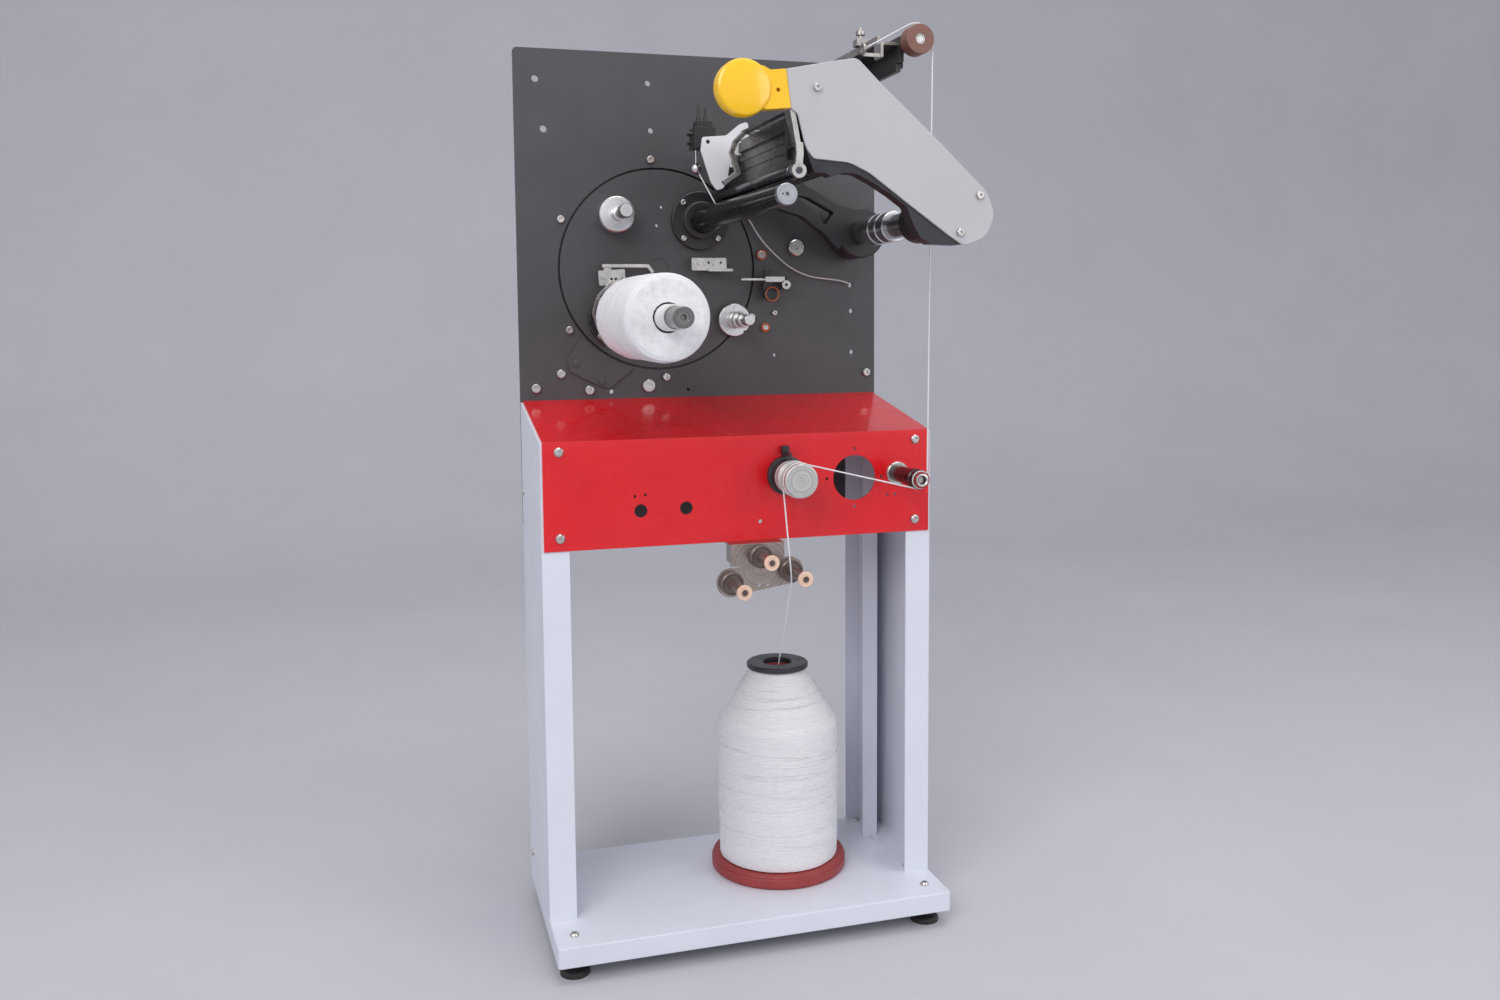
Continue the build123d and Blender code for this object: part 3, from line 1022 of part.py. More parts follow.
def make_valve_block():
    front = PLATE_FRONT_Y + SHEET
    body = block(VALVE_LEFT, VALVE_RIGHT, front, VALVE_REAR_Y, VALVE_BOTTOM, VALVE_TOP - 12)
    body += block(VALVE_LEFT + 6, VALVE_RIGHT - 4, front + 8, VALVE_REAR_Y - 6, VALVE_TOP - 13, VALVE_TOP)
    solids = [body]
    for x, rise in ((VALVE_LEFT + 13, 30), (VALVE_RIGHT - 12, 24)):
        nipple = rod_z(x, 50, 4.0, VALVE_TOP, VALVE_TOP + 10) + rod_z(x, 50, 2.4, VALVE_TOP + 10, VALVE_TOP + rise)
        solids.append(nipple)
    for z in (VALVE_BOTTOM + 10, VALVE_BOTTOM + 26):
        solids.append(rod_x(46, z, 4.0, VALVE_LEFT - 9, VALVE_LEFT))
    return solids


def make_ball_guide():
    ball = Pos(BALL_X, BALL_Y, BALL_Z) * Sphere(BALL_RADIUS)
    return ball + rod_z(BALL_X, BALL_Y, 1.5, BALL_Z, VALVE_BOTTOM)


def make_arm_yarn():
    """The thread from the ball down to the winding mandrel, and up from the ball to the valve block."""
    end_y = BALL_Y - 12
    reach = chuck_radius(end_y) + 2 * FACE_GAP
    angle = radians(106.0)
    end = (WINDING_X + reach * cos(angle), end_y, WINDING_Z + reach * sin(angle))
    start = (BALL_X + 5.5, BALL_Y - 1, BALL_Z - BALL_RADIUS)
    path = Line(start, end)
    return sweep(Plane(origin=path @ 0, z_dir=path % 0) * Circle(YARN_RADIUS), path=path)


# ---- pieces on the panel ----
DOFF_OUTLINE = ((-219.0, 1076.0), (-262.0, 1012.0), (-258.0, 989.0), (-202.0, 961.0), (-184.0, 957.0),
                (-130.0, 1000.0), (-180.0, 1060.0))
DOFF_CORNERS = (2, 6, 6, 6, 6, 2, 2)
DOFF_SCREWS = ((-247.5, 1005.0), (-199.4, 970.0))
DOFF_THICK = 5.0
DOFF_CLEAR = 7.0


def make_doff_plate():
    front = PANEL_FRONT_Y - DOFF_THICK
    plate = slab_y(outline(DOFF_OUTLINE, DOFF_CORNERS), front, PANEL_FRONT_Y)
    plate -= rod_y(TURRET_X, TURRET_Z, TURRET_RADIUS + DOFF_CLEAR, front - 1, PANEL_FRONT_Y + 1)
    return [plate] + [rod_y(x, z, 5.5, front - 4, front) for x, z in DOFF_SCREWS]


LEVER_PIVOT_X = 150.0
LEVER_PIVOT_Z = 1148.5
LEVER_PIN_RADIUS = 3.0
LEVER_BLOCK_Y = LEVER_REAR_Y + 1.5


def make_yarn_lever():
    hub = rod_y(LEVER_PIVOT_X, LEVER_PIVOT_Z, 8.5, LEVER_FRONT_Y - 4, LEVER_REAR_Y)
    strip = block(LEVER_TIP_X, LEVER_X - 2, LEVER_FRONT_Y + 6, LEVER_FRONT_Y + 10, LEVER_Z - 2, LEVER_Z + 2)
    clamp = block(LEVER_X - 34, LEVER_X + 4, LEVER_FRONT_Y, LEVER_REAR_Y, LEVER_Z - 5, LEVER_Z + 5)
    lever = strip + clamp + hub
    return lever - rod_y(LEVER_PIVOT_X, LEVER_PIVOT_Z, LEVER_PIN_RADIUS + RUN_GAP, LEVER_FRONT_Y - 5,
                         LEVER_REAR_Y + 1)


def make_lever_block():
    front = LEVER_BLOCK_Y
    body = block(LEVER_X - 33, LEVER_PIVOT_X + 9, front, front + 10, LEVER_PIVOT_Z - 9, LEVER_Z + 7)
    body += rod_y(LEVER_X - 10, LEVER_Z - 4, 8, front + 10, PANEL_FRONT_Y)
    body += block(LEVER_X - 30, LEVER_X - 18, front, front + 10, LEVER_Z + 6, LEVER_Z + 18)
    body += rod_y(LEVER_PIVOT_X, LEVER_PIVOT_Z, LEVER_PIN_RADIUS, LEVER_FRONT_Y - 4, front + 1)
    knob = rod_y(LEVER_X - 17, LEVER_PIVOT_Z - 17, 12.5, front + 10 - 6, front + 10)
    knob += rod_y(LEVER_X - 17, LEVER_PIVOT_Z - 17, 9, front + 10, PANEL_FRONT_Y)
    knob -= block(LEVER_X - 40, LEVER_X + 40, front - 1, front + 11, LEVER_PIVOT_Z - 9 - FACE_GAP,
                  LEVER_PIVOT_Z + 30)
    return [body, knob]


CABLE_Y = 170.0
CABLE_ROUTE = ((90.0, PANEL_FRONT_Y, 1273.0), (90.5, CABLE_Y, 1272.5), (101.0, CABLE_Y, 1253.0),
               (118.0, CABLE_Y, 1230.0), (141.0, CABLE_Y, 1207.0), (171.0, CABLE_Y, 1182.0),
               (210.0, CABLE_Y, 1165.0), (246.0, CABLE_Y, 1161.0), (276.0, CABLE_Y, 1158.0),
               (CABLE_HOLE_X - 4, CABLE_Y + 1, CABLE_HOLE_Z + 2), (CABLE_HOLE_X, PANEL_REAR_Y, CABLE_HOLE_Z))


def make_sensor_cable():
    cable, radii = swept_tube(CABLE_ROUTE, CABLE_RADIUS)
    print("cable radii:", [round(radius, 1) for radius in radii])
    return cable


# ---- guide beam ----
ROLLER_BLOCK = 26.0
RAIL_LEFT = 246.0
RAIL_SHEET = 5.0
EYE_X = 214.0
EYE_Y = -104.0
EYE_Z = 1543.0
BEAM_SCREWS = ((BEAM_FRONT_Y + 20, 1524.0), (BEAM_FRONT_Y + 110, 1524.0), (BEAM_FRONT_Y + 60, 1552.0))


def make_beam_plate():
    plate = block(BEAM_LEFT, BEAM_LEFT + BEAM_THICK, BEAM_FRONT_Y, PANEL_FRONT_Y, BEAM_BOTTOM, BEAM_TOP)
    plate -= block(BEAM_LEFT - 1, BEAM_LEFT + BEAM_THICK + 1, BEAM_FRONT_Y - 1, BEAM_FRONT_Y + 14, BEAM_BOTTOM - 1,
                   BEAM_BOTTOM + 14)
    plate += block(BEAM_LEFT, BEAM_LEFT + 32, PANEL_FRONT_Y - 8, PANEL_FRONT_Y, BEAM_BOTTOM, BEAM_TOP)
    plate += block(BEAM_LEFT + BEAM_THICK, TOP_ROLLER_X + 12, BEAM_FRONT_Y, BEAM_FRONT_Y + ROLLER_BLOCK,
                   TOP_ROLLER_Z - 13, TOP_ROLLER_Z + 11)
    plate -= rod_y(TOP_ROLLER_X, TOP_ROLLER_Z, TOP_PIN_RADIUS + RUN_GAP, BEAM_FRONT_Y - 1,
                   BEAM_FRONT_Y + ROLLER_BLOCK - 4)
    solids = [plate]
    for y, z in BEAM_SCREWS:
        solids.append(rod_x(y, z, 5.5, BEAM_LEFT + BEAM_THICK, BEAM_LEFT + BEAM_THICK + 5))
    return solids


TOP_PIN_RADIUS = 6.0


def make_beam_rail():
    """The light shelf beside the beam, with the eye that the yarn leaves by and a clamp with its screw."""
    shelf = block(RAIL_LEFT, BEAM_LEFT, BEAM_FRONT_Y + 8, PANEL_FRONT_Y, BEAM_TOP - 14, BEAM_TOP - 14 + RAIL_SHEET)
    lip = block(RAIL_LEFT, RAIL_LEFT + RAIL_SHEET, BEAM_FRONT_Y + 8, PANEL_FRONT_Y, BEAM_TOP - 14, BEAM_TOP)
    arm = block(EYE_X, RAIL_LEFT, EYE_Y - 2, EYE_Y + 2, EYE_Z - 12, EYE_Z - 12 + 6)
    ring = rod_x(EYE_Y, EYE_Z, 10, EYE_X - 2, EYE_X + 2) - rod_x(EYE_Y, EYE_Z, 5, EYE_X - 3, EYE_X + 3)
    hanger = block(RAIL_LEFT - 1, RAIL_LEFT + 4, EYE_Y - 4, BEAM_FRONT_Y + 20, EYE_Z - 12, BEAM_TOP - 15)
    hanger += block(RAIL_LEFT - 1, RAIL_LEFT + 4, BEAM_FRONT_Y + 8, BEAM_FRONT_Y + 20, EYE_Z - 12, BEAM_TOP - 10)
    rail = shelf + lip + arm + ring + hanger
    for y in range(int(BEAM_FRONT_Y) + 36, 150, 34):
        rail -= rod_z((RAIL_LEFT + BEAM_LEFT) / 2, y, 3, BEAM_TOP - 15, BEAM_TOP - 8)
    clamp = block(RAIL_LEFT - 6, RAIL_LEFT + 16, -10, 10, BEAM_TOP, BEAM_TOP + 12)
    screw = rod_z(RAIL_LEFT + 4, 0, 3, BEAM_TOP + 12, BEAM_TOP + 34) + rod_z(RAIL_LEFT + 4, 0, 8, BEAM_TOP + 20,
                                                                             BEAM_TOP + 27)
    return [rail, clamp, screw]


def make_top_roller():
    bore = TOP_PIN_RADIUS + RUN_GAP
    rim = TOP_ROLLER_RADIUS
    front = TOP_ROLLER_FRONT_Y
    rear = TOP_ROLLER_REAR_Y
    return turned_y(TOP_ROLLER_X, TOP_ROLLER_Z,
                    [(bore, rear), (rim - 1, rear), (rim, rear - 1), (rim, front + 1), (rim - 1, front),
                     (TOP_ROLLER_BORE, front), (TOP_ROLLER_BORE, front + 5), (bore, front + 5)])


# ---- yarn rollers and tensioner on the front housing ----
FEED_BASE = 6.0
PLATE_SCREW_RADIUS = 3.0


def make_roller_pins():
    """Fixed pins of the top roller, the feed roller and the three small rollers."""
    pins = [rod_y(TOP_ROLLER_X, TOP_ROLLER_Z, TOP_PIN_RADIUS, TOP_ROLLER_FRONT_Y + 2,
                  BEAM_FRONT_Y + ROLLER_BLOCK - 5)]
    rear = HOUSING_FRONT_Y
    pin = FEED_PIN_RADIUS
    pins.append(turned_y(FEED_X, FEED_Z, [(0, rear + 14), (pin, rear + 14), (pin, rear), (21, rear),
                                          (21, rear - FEED_BASE + 2), (19, rear - FEED_BASE), (pin, rear - FEED_BASE),
                                          (pin, FEED_FRONT_Y + 5), (0, FEED_FRONT_Y + 5)]))
    for x, z, front in SNUBBER_ROLLERS:
        pins.append(rod_y(x, z, SNUBBER_PIN_RADIUS, front + 6, SNUBBER_PLATE_Y + SNUBBER_SHEET + 5))
    return pins


def make_feed_roller():
    bore = FEED_PIN_RADIUS + RUN_GAP
    rear = HOUSING_FRONT_Y - FEED_BASE - FACE_GAP
    half = FEED_GROOVE_WIDTH / 2
    lip = FEED_RIM_RADIUS
    core = FEED_GROOVE_RADIUS
    back = FEED_GROOVE_Y + half
    front = FEED_GROOVE_Y - half
    return turned_y(FEED_X, FEED_Z,
                    [(bore, rear), (FEED_BODY_RADIUS, rear), (FEED_BODY_RADIUS, back + 15), (lip, back + 15),
                     (lip, back + 2), (core, back), (core, front), (lip, front - 2), (lip, front - 4),
                     (lip - 2.5, front - 5), (lip - 2.5, FEED_FRONT_Y + 1), (lip - 3.5, FEED_FRONT_Y),
                     (bore, FEED_FRONT_Y)])


def make_tension_body():
    rear = HOUSING_FRONT_Y
    front = rear - TENSION_BASE_THICK
    pin = TENSION_PIN_RADIUS
    base = turned_y(TENSION_X, TENSION_Z,
                    [(0, rear + 14), (pin, rear + 14), (pin, rear), (34, rear), (34, rear - 8), (29, rear - 9),
                     (29, front), (pin, front), (pin, TENSION_FRONT_Y + 9), (0, TENSION_FRONT_Y + 9)])
    stop = block(TENSION_X - 9, TENSION_X + 3, rear - 12, rear, TENSION_Z + 36, TENSION_Z + 52)
    stop += block(TENSION_X - 5, TENSION_X - 1, rear - 38, rear - 11, TENSION_Z + 37, TENSION_Z + 42)
    return [base, stop]


def make_tension_wheel():
    bore = TENSION_PIN_RADIUS + RUN_GAP
    rear = HOUSING_FRONT_Y - TENSION_BASE_THICK - FACE_GAP
    half = TENSION_GROOVE_WIDTH / 2
    lip = TENSION_RADIUS
    core = TENSION_GROOVE_RADIUS - YARN_SLANT_GAP
    back = TENSION_GROOVE_Y + half
    front = TENSION_GROOVE_Y - half
    face = TENSION_FRONT_Y
    wheel = turned_y(TENSION_X, TENSION_Z,
                     [(bore, rear), (lip - 2, rear), (lip - 2, rear - 3), (lip - 6, rear - 4), (lip - 6, back + 9),
                      (lip, back + 8), (lip, back + 3), (core, back), (core, front), (lip, front - 3),
                      (lip, front - 6), (lip - 4, front - 7), (lip - 4, face + 14), (lip - 1, face + 13),
                      (lip - 1, face + 2), (lip - 3, face), (0, face), (0, face + 7), (bore, face + 7)])
    return wheel


def make_snubber_bracket():
    top = HOUSING_BOTTOM
    y0 = SNUBBER_PLATE_Y
    y1 = y0 + SNUBBER_SHEET
    left = SNUBBER_ROLLERS[2]
    right = SNUBBER_ROLLERS[1]
    upper = SNUBBER_ROLLERS[0]
    face = Pos((upper[0] - 4), (upper[1] + top) / 2 - 8) * Rectangle(96, top - upper[1] + 16)
    face += ribbon(((left[0], left[1]), (right[0], right[1])), 46)
    face += Pos(left[0], left[1]) * Circle(25)
    face += Pos(right[0], right[1]) * Circle(24)
    bracket = slab_y(face, y0, y1)
    width = (upper[0] - 52, upper[0] + 44)
    bracket += block(width[0], width[1], y0, HOUSING_FRONT_Y + HOUSING_SHEET + 18, top - SNUBBER_SHEET, top)
    bracket += block(width[0], width[0] + SNUBBER_SHEET, y0, y0 + 28, upper[1] - 10, top)
    for x, z, front in SNUBBER_ROLLERS:
        bracket -= rod_y(x, z, SNUBBER_PIN_RADIUS + RUN_GAP, y0 - 1, y1 + 1)
    for x in (upper[0] - 1, upper[0] + 14):
        bracket -= rod_y(x, left[1] - 8, 2.6, y0 - 1, y1 + 1)
    nuts = []
    for x, z, front in SNUBBER_ROLLERS:
        nut = slab_y(Pos(x, z) * RegularPolygon(9, 6), y1, y1 + 5)
        nuts.append(nut - rod_y(x, z, SNUBBER_PIN_RADIUS + RUN_GAP, y1 - 1, y1 + 6))
    return [bracket] + nuts


def make_snubber_roller(spot):
    x, z, front = spot
    bore = SNUBBER_PIN_RADIUS + RUN_GAP
    rim = SNUBBER_RIM_RADIUS
    core = SNUBBER_CORE_RADIUS
    cap = SNUBBER_CAP_RADIUS
    rear = SNUBBER_PLATE_Y - FACE_GAP
    roller = turned_y(x, z,
                      [(bore, rear), (rim - 2, rear), (rim, rear - 2), (rim, rear - 10), (rim - 2.5, rear - 12),
                       (rim - 2.5, rear - 8), (core + 1, rear - 8), (core, rear - 12), (core, front + 7),
                       (cap - 1, front + 6), (cap, front + 5), (cap, front + 1), (cap - 1, front), (0, front),
                       (0, front + 5), (bore, front + 5)])
    for wide, tall in ((10, 2.2), (2.2, 10)):
        roller -= slab_y(Pos(x, z) * Rectangle(wide, tall), front - 1, front + 2)
    return roller


# ---- supply bobbin ----
def make_bobbin_base():
    tube = BOBBIN_TUBE_RADIUS
    hole = BOBBIN_HOLE_RADIUS
    rim = BOBBIN_BASE_RADIUS
    top = TRAY_TOP + BOBBIN_BASE_THICK
    return turned_z(BOBBIN_X, BOBBIN_Y,
                    [(hole, TRAY_TOP), (rim - 4, TRAY_TOP), (rim, TRAY_TOP + 4), (rim, top - 7), (rim - 2, top - 6),
                     (rim - 2, top - 2), (rim - 4, top), (tube, top), (tube, BOBBIN_NECK), (hole, BOBBIN_NECK)])


def make_bobbin_yarn():
    tube = BOBBIN_TUBE_RADIUS + RUN_GAP
    bottom = TRAY_TOP + BOBBIN_BASE_THICK
    wide = BOBBIN_YARN_RADIUS
    neck = BOBBIN_NECK_RADIUS
    return turned_z(BOBBIN_X, BOBBIN_Y,
                    [(tube, bottom), (wide - 6, bottom), (wide, bottom + 6), (wide + 1.5, BOBBIN_SHOULDER - 60),
                     (wide, BOBBIN_SHOULDER - 8), (wide - 5, BOBBIN_SHOULDER + 5), (neck + 3, BOBBIN_NECK - 6),
                     (neck, BOBBIN_NECK), (tube, BOBBIN_NECK)])


def make_bobbin_cap():
    rim = BOBBIN_CAP_RADIUS
    top = BOBBIN_NECK + BOBBIN_CAP_THICK
    hole = BOBBIN_HOLE_RADIUS
    return turned_z(BOBBIN_X, BOBBIN_Y,
                    [(hole, BOBBIN_NECK), (rim - 2, BOBBIN_NECK), (rim, BOBBIN_NECK + 2), (rim, top - 2),
                     (rim - 2, top), (hole + 2, top), (hole, top - 2)])


# ---- taut yarn from the bobbin to the guide beam ----
def make_yarn_run():
    """The yarn's corners lie where the straight runs beside each wheel would meet."""
    around_tension = TENSION_GROOVE_RADIUS + YARN_GAP + YARN_RADIUS
    around_feed = FEED_GROOVE_RADIUS + YARN_GAP + YARN_RADIUS
    around_top = TOP_ROLLER_RADIUS + YARN_SLANT_GAP + YARN_RADIUS
    around_snubber = SNUBBER_CORE_RADIUS + YARN_GAP + YARN_RADIUS
    gap = hypot(FEED_X - TENSION_X, FEED_Z - TENSION_Z)
    lean = -atan2(FEED_Z - TENSION_Z, FEED_X - TENSION_X)
    dip = lean + asin_of((around_tension + around_feed) / gap)
    left_x = TENSION_X - around_tension
    touch_x = TENSION_X + around_tension * sin(dip)
    touch_z = TENSION_Z + around_tension * cos(dip)
    right_x = FEED_X + around_feed
    over_x = TOP_ROLLER_X + around_top
    roller = SNUBBER_ROLLERS[1]
    top_y = (TOP_ROLLER_FRONT_Y + TOP_ROLLER_REAR_Y) / 2
    eye_gap = hypot(TOP_ROLLER_X - EYE_X, TOP_ROLLER_Z - EYE_Z)
    fall = atan2(TOP_ROLLER_Z - EYE_Z, TOP_ROLLER_X - EYE_X) + asin_of(around_top / eye_gap)
    crest_z = TOP_ROLLER_Z + around_top * cos(fall) + (over_x - TOP_ROLLER_X + around_top * sin(fall)) * tan(fall)
    corners = ((BOBBIN_X, BOBBIN_Y, YARN_START_Z),
               (roller[0] - around_snubber, SNUBBER_YARN_Y, roller[1] - 8),
               (left_x, TENSION_GROOVE_Y, touch_z + (touch_x - left_x) * tan(dip)),
               (right_x, FEED_GROOVE_Y, touch_z - (right_x - touch_x) * tan(dip)),
               (over_x, top_y, crest_z),
               (EYE_X, EYE_Y, crest_z - (over_x - EYE_X) * tan(fall)))
    radii = [around_snubber, around_tension, around_feed, around_top]
    print("yarn radii:", [round(radius, 1) for radius in radii], "end", [round(v, 1) for v in corners[-1]])
    path = FilletPolyline(*corners, radius=radii)
    return sweep(Plane(origin=path @ 0, z_dir=path % 0) * Circle(YARN_RADIUS), path=path)


def asin_of(share):
    return atan2(share, (1 - share * share) ** 0.5)


def build_parts():
    return {
        "foot_pads": make_foot_pads(),
        "base_tray": make_base_tray(),
        "side_frame_left": make_side_frame(-1),
        "side_frame_right": make_side_frame(1),
        "rear_posts": [make_rear_post(-1), make_rear_post(1)],
        "frame_screws": make_foot_screws() + make_frame_bolts() + make_housing_screws(),
        "back_panel": make_back_panel(),
        "panel_screws": make_panel_screws() + [make_panel_knob()],
        "front_housing": make_front_housing(),
        "turret_ring": make_turret_ring(),
        "index_motor": make_index_motor(),
        "turret_disc": make_turret_disc(),
        "turret_gear": make_turret_gear(),
        "centre_plug": make_centre_plug(),
        "spindle_flanges": make_spindle_flanges(),
        "turret_screws": make_turret_screws(),
        "spindle_motors": make_spindle_motors(),
        "turret_bosses": make_turret_bosses(),
        "finger_brackets": make_finger_brackets(),
        "index_pinion": make_index_pinion(),
        "winding_mandrel": make_winding_mandrel(),
        "mandrel_cap": make_mandrel_cap(),
        "doff_spindle": make_doff_spindle(),
        "package_tube": make_package_tube(),
        "package_yarn": make_package_yarn(),
        "doff_plate": make_doff_plate(),
        "yarn_lever": make_yarn_lever(),
        "lever_block": make_lever_block(),
        "sensor_cable": make_sensor_cable(),
        "pivot_shaft": make_pivot_shaft(),
        "arm_rear_casting": make_arm_rear_casting(),
        "arm_tube": make_arm_tube(),
        "arm_front_casting": make_arm_front_casting(),
        "arm_cover": make_arm_cover(),
        "arm_screws": make_arm_screws(),
        "arm_cap": make_arm_cap(),
        "traverse_box": make_traverse_box(),
        "traverse_guide": make_traverse_guide(),
        "guide_plate": make_guide_plate(),
        "guide_bracket": make_guide_bracket(),
        "end_bracket": make_end_bracket(),
        "contact_roller": make_contact_roller(),
        "valve_block": make_valve_block(),
        "ball_guide": make_ball_guide(),
        "arm_yarn": make_arm_yarn(),
        "beam_plate": make_beam_plate(),
        "beam_rail": make_beam_rail(),
        "top_roller": make_top_roller(),
        "roller_pins": make_roller_pins(),
        "feed_roller": make_feed_roller(),
        "tension_body": make_tension_body(),
        "tension_wheel": make_tension_wheel(),
        "snubber_bracket": make_snubber_bracket(),
        "snubber_roller_upper": make_snubber_roller(SNUBBER_ROLLERS[0]),
        "snubber_roller_right": make_snubber_roller(SNUBBER_ROLLERS[1]),
        "snubber_roller_left": make_snubber_roller(SNUBBER_ROLLERS[2]),
        "bobbin_base": make_bobbin_base(),
        "bobbin_yarn": make_bobbin_yarn(),
        "bobbin_cap": make_bobbin_cap(),
        "yarn_run": make_yarn_run(),
    }


def main():
    os.makedirs("parts", exist_ok=True)
    for name, solids in build_parts().items():
        shape = Compound(children=solids) if isinstance(solids, list) else solids
        export_step(shape, "parts/" + name + ".step")


main()
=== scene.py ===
"""The looks of the yarn cone winder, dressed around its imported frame.

Everything is in metres in the frame's own axes: X to the right seen from the front, the front
towards -Y, Z up. Tables in millimetres say so, and are scaled by MM.
"""
import math
import random

import bmesh
import bpy
from mathutils import Matrix, Vector, noise


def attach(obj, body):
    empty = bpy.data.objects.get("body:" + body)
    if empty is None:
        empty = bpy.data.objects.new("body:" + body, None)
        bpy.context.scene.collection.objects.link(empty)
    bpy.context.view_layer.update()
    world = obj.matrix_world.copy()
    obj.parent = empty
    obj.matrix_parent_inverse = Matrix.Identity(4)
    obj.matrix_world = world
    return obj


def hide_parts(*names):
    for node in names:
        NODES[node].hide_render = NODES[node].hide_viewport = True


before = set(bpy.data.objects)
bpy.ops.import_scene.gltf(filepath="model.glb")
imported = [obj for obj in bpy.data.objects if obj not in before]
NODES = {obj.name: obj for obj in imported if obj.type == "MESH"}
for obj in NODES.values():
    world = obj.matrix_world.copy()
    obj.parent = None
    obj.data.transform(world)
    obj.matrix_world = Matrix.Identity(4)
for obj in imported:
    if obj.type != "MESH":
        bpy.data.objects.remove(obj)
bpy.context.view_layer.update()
MM = 0.001

# Centres of the round pieces; one whose axis lies along Y has Y = 0 here.
TURRET = (-0.0874, 0.0, 1.1787)
MANDREL = (-0.00705, 0.0, 1.26984)
DOFF = (-0.16775, 0.0, 1.08756)
ROLLER = (0.020, 0.0, 1.308)
PIVOT = (0.295, 0.0, 1.247)
TOP_ROLLER = (0.308, 0.0, 1.560)
FEED = (0.2848, 0.0, 0.8077)
TENSION = (0.075, 0.0, 0.813)
BOBBIN = (0.095, 0.027, 0.0)
UPPER_BOSS = (-0.171, 0.0, 1.277)
BALL = (-0.044, 0.0, 1.352)
SNUBBER_PLATE = (0.02, 0.0, 0.66)
SNUBBERS = {"upper": (0.0183, 0.0, 0.679), "right": (0.0724, 0.0, 0.651), "left": (-0.0338, 0.0, 0.6355)}


def across_y(centre):
    """The x and z of a centre, in millimetres."""
    return centre[0] / MM, centre[2] / MM


# ---------------------------------------------------------------- material makers
def rgb(red, green, blue):
    """Linear colour of an ordinary 0 to 255 screen colour."""
    def linear(value):
        value = value / 255
        return value / 12.92 if value <= 0.04045 else ((value + 0.055) / 1.055) ** 2.4
    return (linear(red), linear(green), linear(blue), 1.0)


def scaled(colour, factor):
    return tuple(min(1.0, part * factor) for part in colour[:3]) + (1.0,)


class Shader:
    """A small helper that builds node trees with few words."""

    SOCKETS = {"colour": "Base Color", "rough": "Roughness", "metal": "Metallic", "coat": "Coat Weight",
               "coat_rough": "Coat Roughness", "sheen": "Sheen Weight", "normal": "Normal"}

    def __init__(self, name):
        self.material = bpy.data.materials.new(name)
        self.material.use_nodes = True
        self.tree = self.material.node_tree
        self.tree.nodes.clear()
        self.out = self.tree.nodes.new("ShaderNodeOutputMaterial")
        self.bsdf = self.tree.nodes.new("ShaderNodeBsdfPrincipled")
        self.tree.links.new(self.bsdf.outputs["BSDF"], self.out.inputs["Surface"])
        self.place = self.tree.nodes.new("ShaderNodeTexCoord").outputs["Object"]

    def feed(self, socket, value):
        """Links a node's output to a socket, or sets the socket's own value."""
        if hasattr(value, "is_output"):
            self.tree.links.new(value, socket)
        else:
            socket.default_value = value

    def node(self, kind, inputs=None, **settings):
        made = self.tree.nodes.new(kind)
        for key, value in settings.items():
            setattr(made, key, value)
        for key, value in (inputs or {}).items():
            self.feed(made.inputs[key], value)
        return made

    def moved(self, centre=(0, 0, 0), scale=(1, 1, 1)):
        """Coordinates measured from a centre, in metres, then scaled."""
        inputs = {0: self.place, 1: centre}
        first = self.node("ShaderNodeVectorMath", inputs, operation="SUBTRACT").outputs[0]
        return self.node("ShaderNodeMapping", {"Vector": first, "Scale": scale}).outputs[0]

    def noise(self, scale, detail=5.0, rough=0.55, place=None, distort=0.0):
        inputs = {"Vector": place or self.place, "Scale": scale, "Detail": detail, "Roughness": rough,
                  "Distortion": distort}
        return self.node("ShaderNodeTexNoise", inputs).outputs["Fac"]

    def noise_along(self, length, scale, detail):
        """Noise that changes along one length only, as turned rings do."""
        inputs = {"W": length, "Scale": scale, "Detail": detail}
        return self.node("ShaderNodeTexNoise", inputs, noise_dimensions="1D").outputs["Fac"]

    def fit(self, value, low, high, from_low=0.3, from_high=0.7):
        inputs = {"Value": value, "From Min": from_low, "From Max": from_high, "To Min": low, "To Max": high}
        return self.node("ShaderNodeMapRange", inputs).outputs[0]

    def mix(self, factor, first, second):
        made = self.node("ShaderNodeMix", data_type="RGBA")
        for index, value in ((0, factor), (6, first), (7, second)):
            self.feed(made.inputs[index], value)
        return made.outputs[2]

    def maths(self, operation, first, second=0.0):
        return self.node("ShaderNodeMath", {0: first, 1: second}, operation=operation).outputs[0]

    def soft_edge(self, radius):
        return self.node("ShaderNodeBevel", {"Radius": radius}, samples=4).outputs[0]

    def edge_mask(self, radius):
        """Near 1 on a convex or concave edge, 0 on a flat."""
        flat = self.node("ShaderNodeNewGeometry").outputs["Normal"]
        inputs = {0: self.soft_edge(radius), 1: flat}
        same = self.node("ShaderNodeVectorMath", inputs, operation="DOT_PRODUCT").outputs["Value"]
        return self.fit(same, 1.0, 0.0, 0.80, 0.985)

    def bump(self, height, strength, distance=0.001, base=None):
        inputs = {"Height": height, "Strength": strength, "Distance": distance}
        if base is not None:
            inputs["Normal"] = base
        return self.node("ShaderNodeBump", inputs).outputs[0]

    def set(self, **values):
        for key, value in values.items():
            self.feed(self.bsdf.inputs[self.SOCKETS[key]], value)
        return self.material


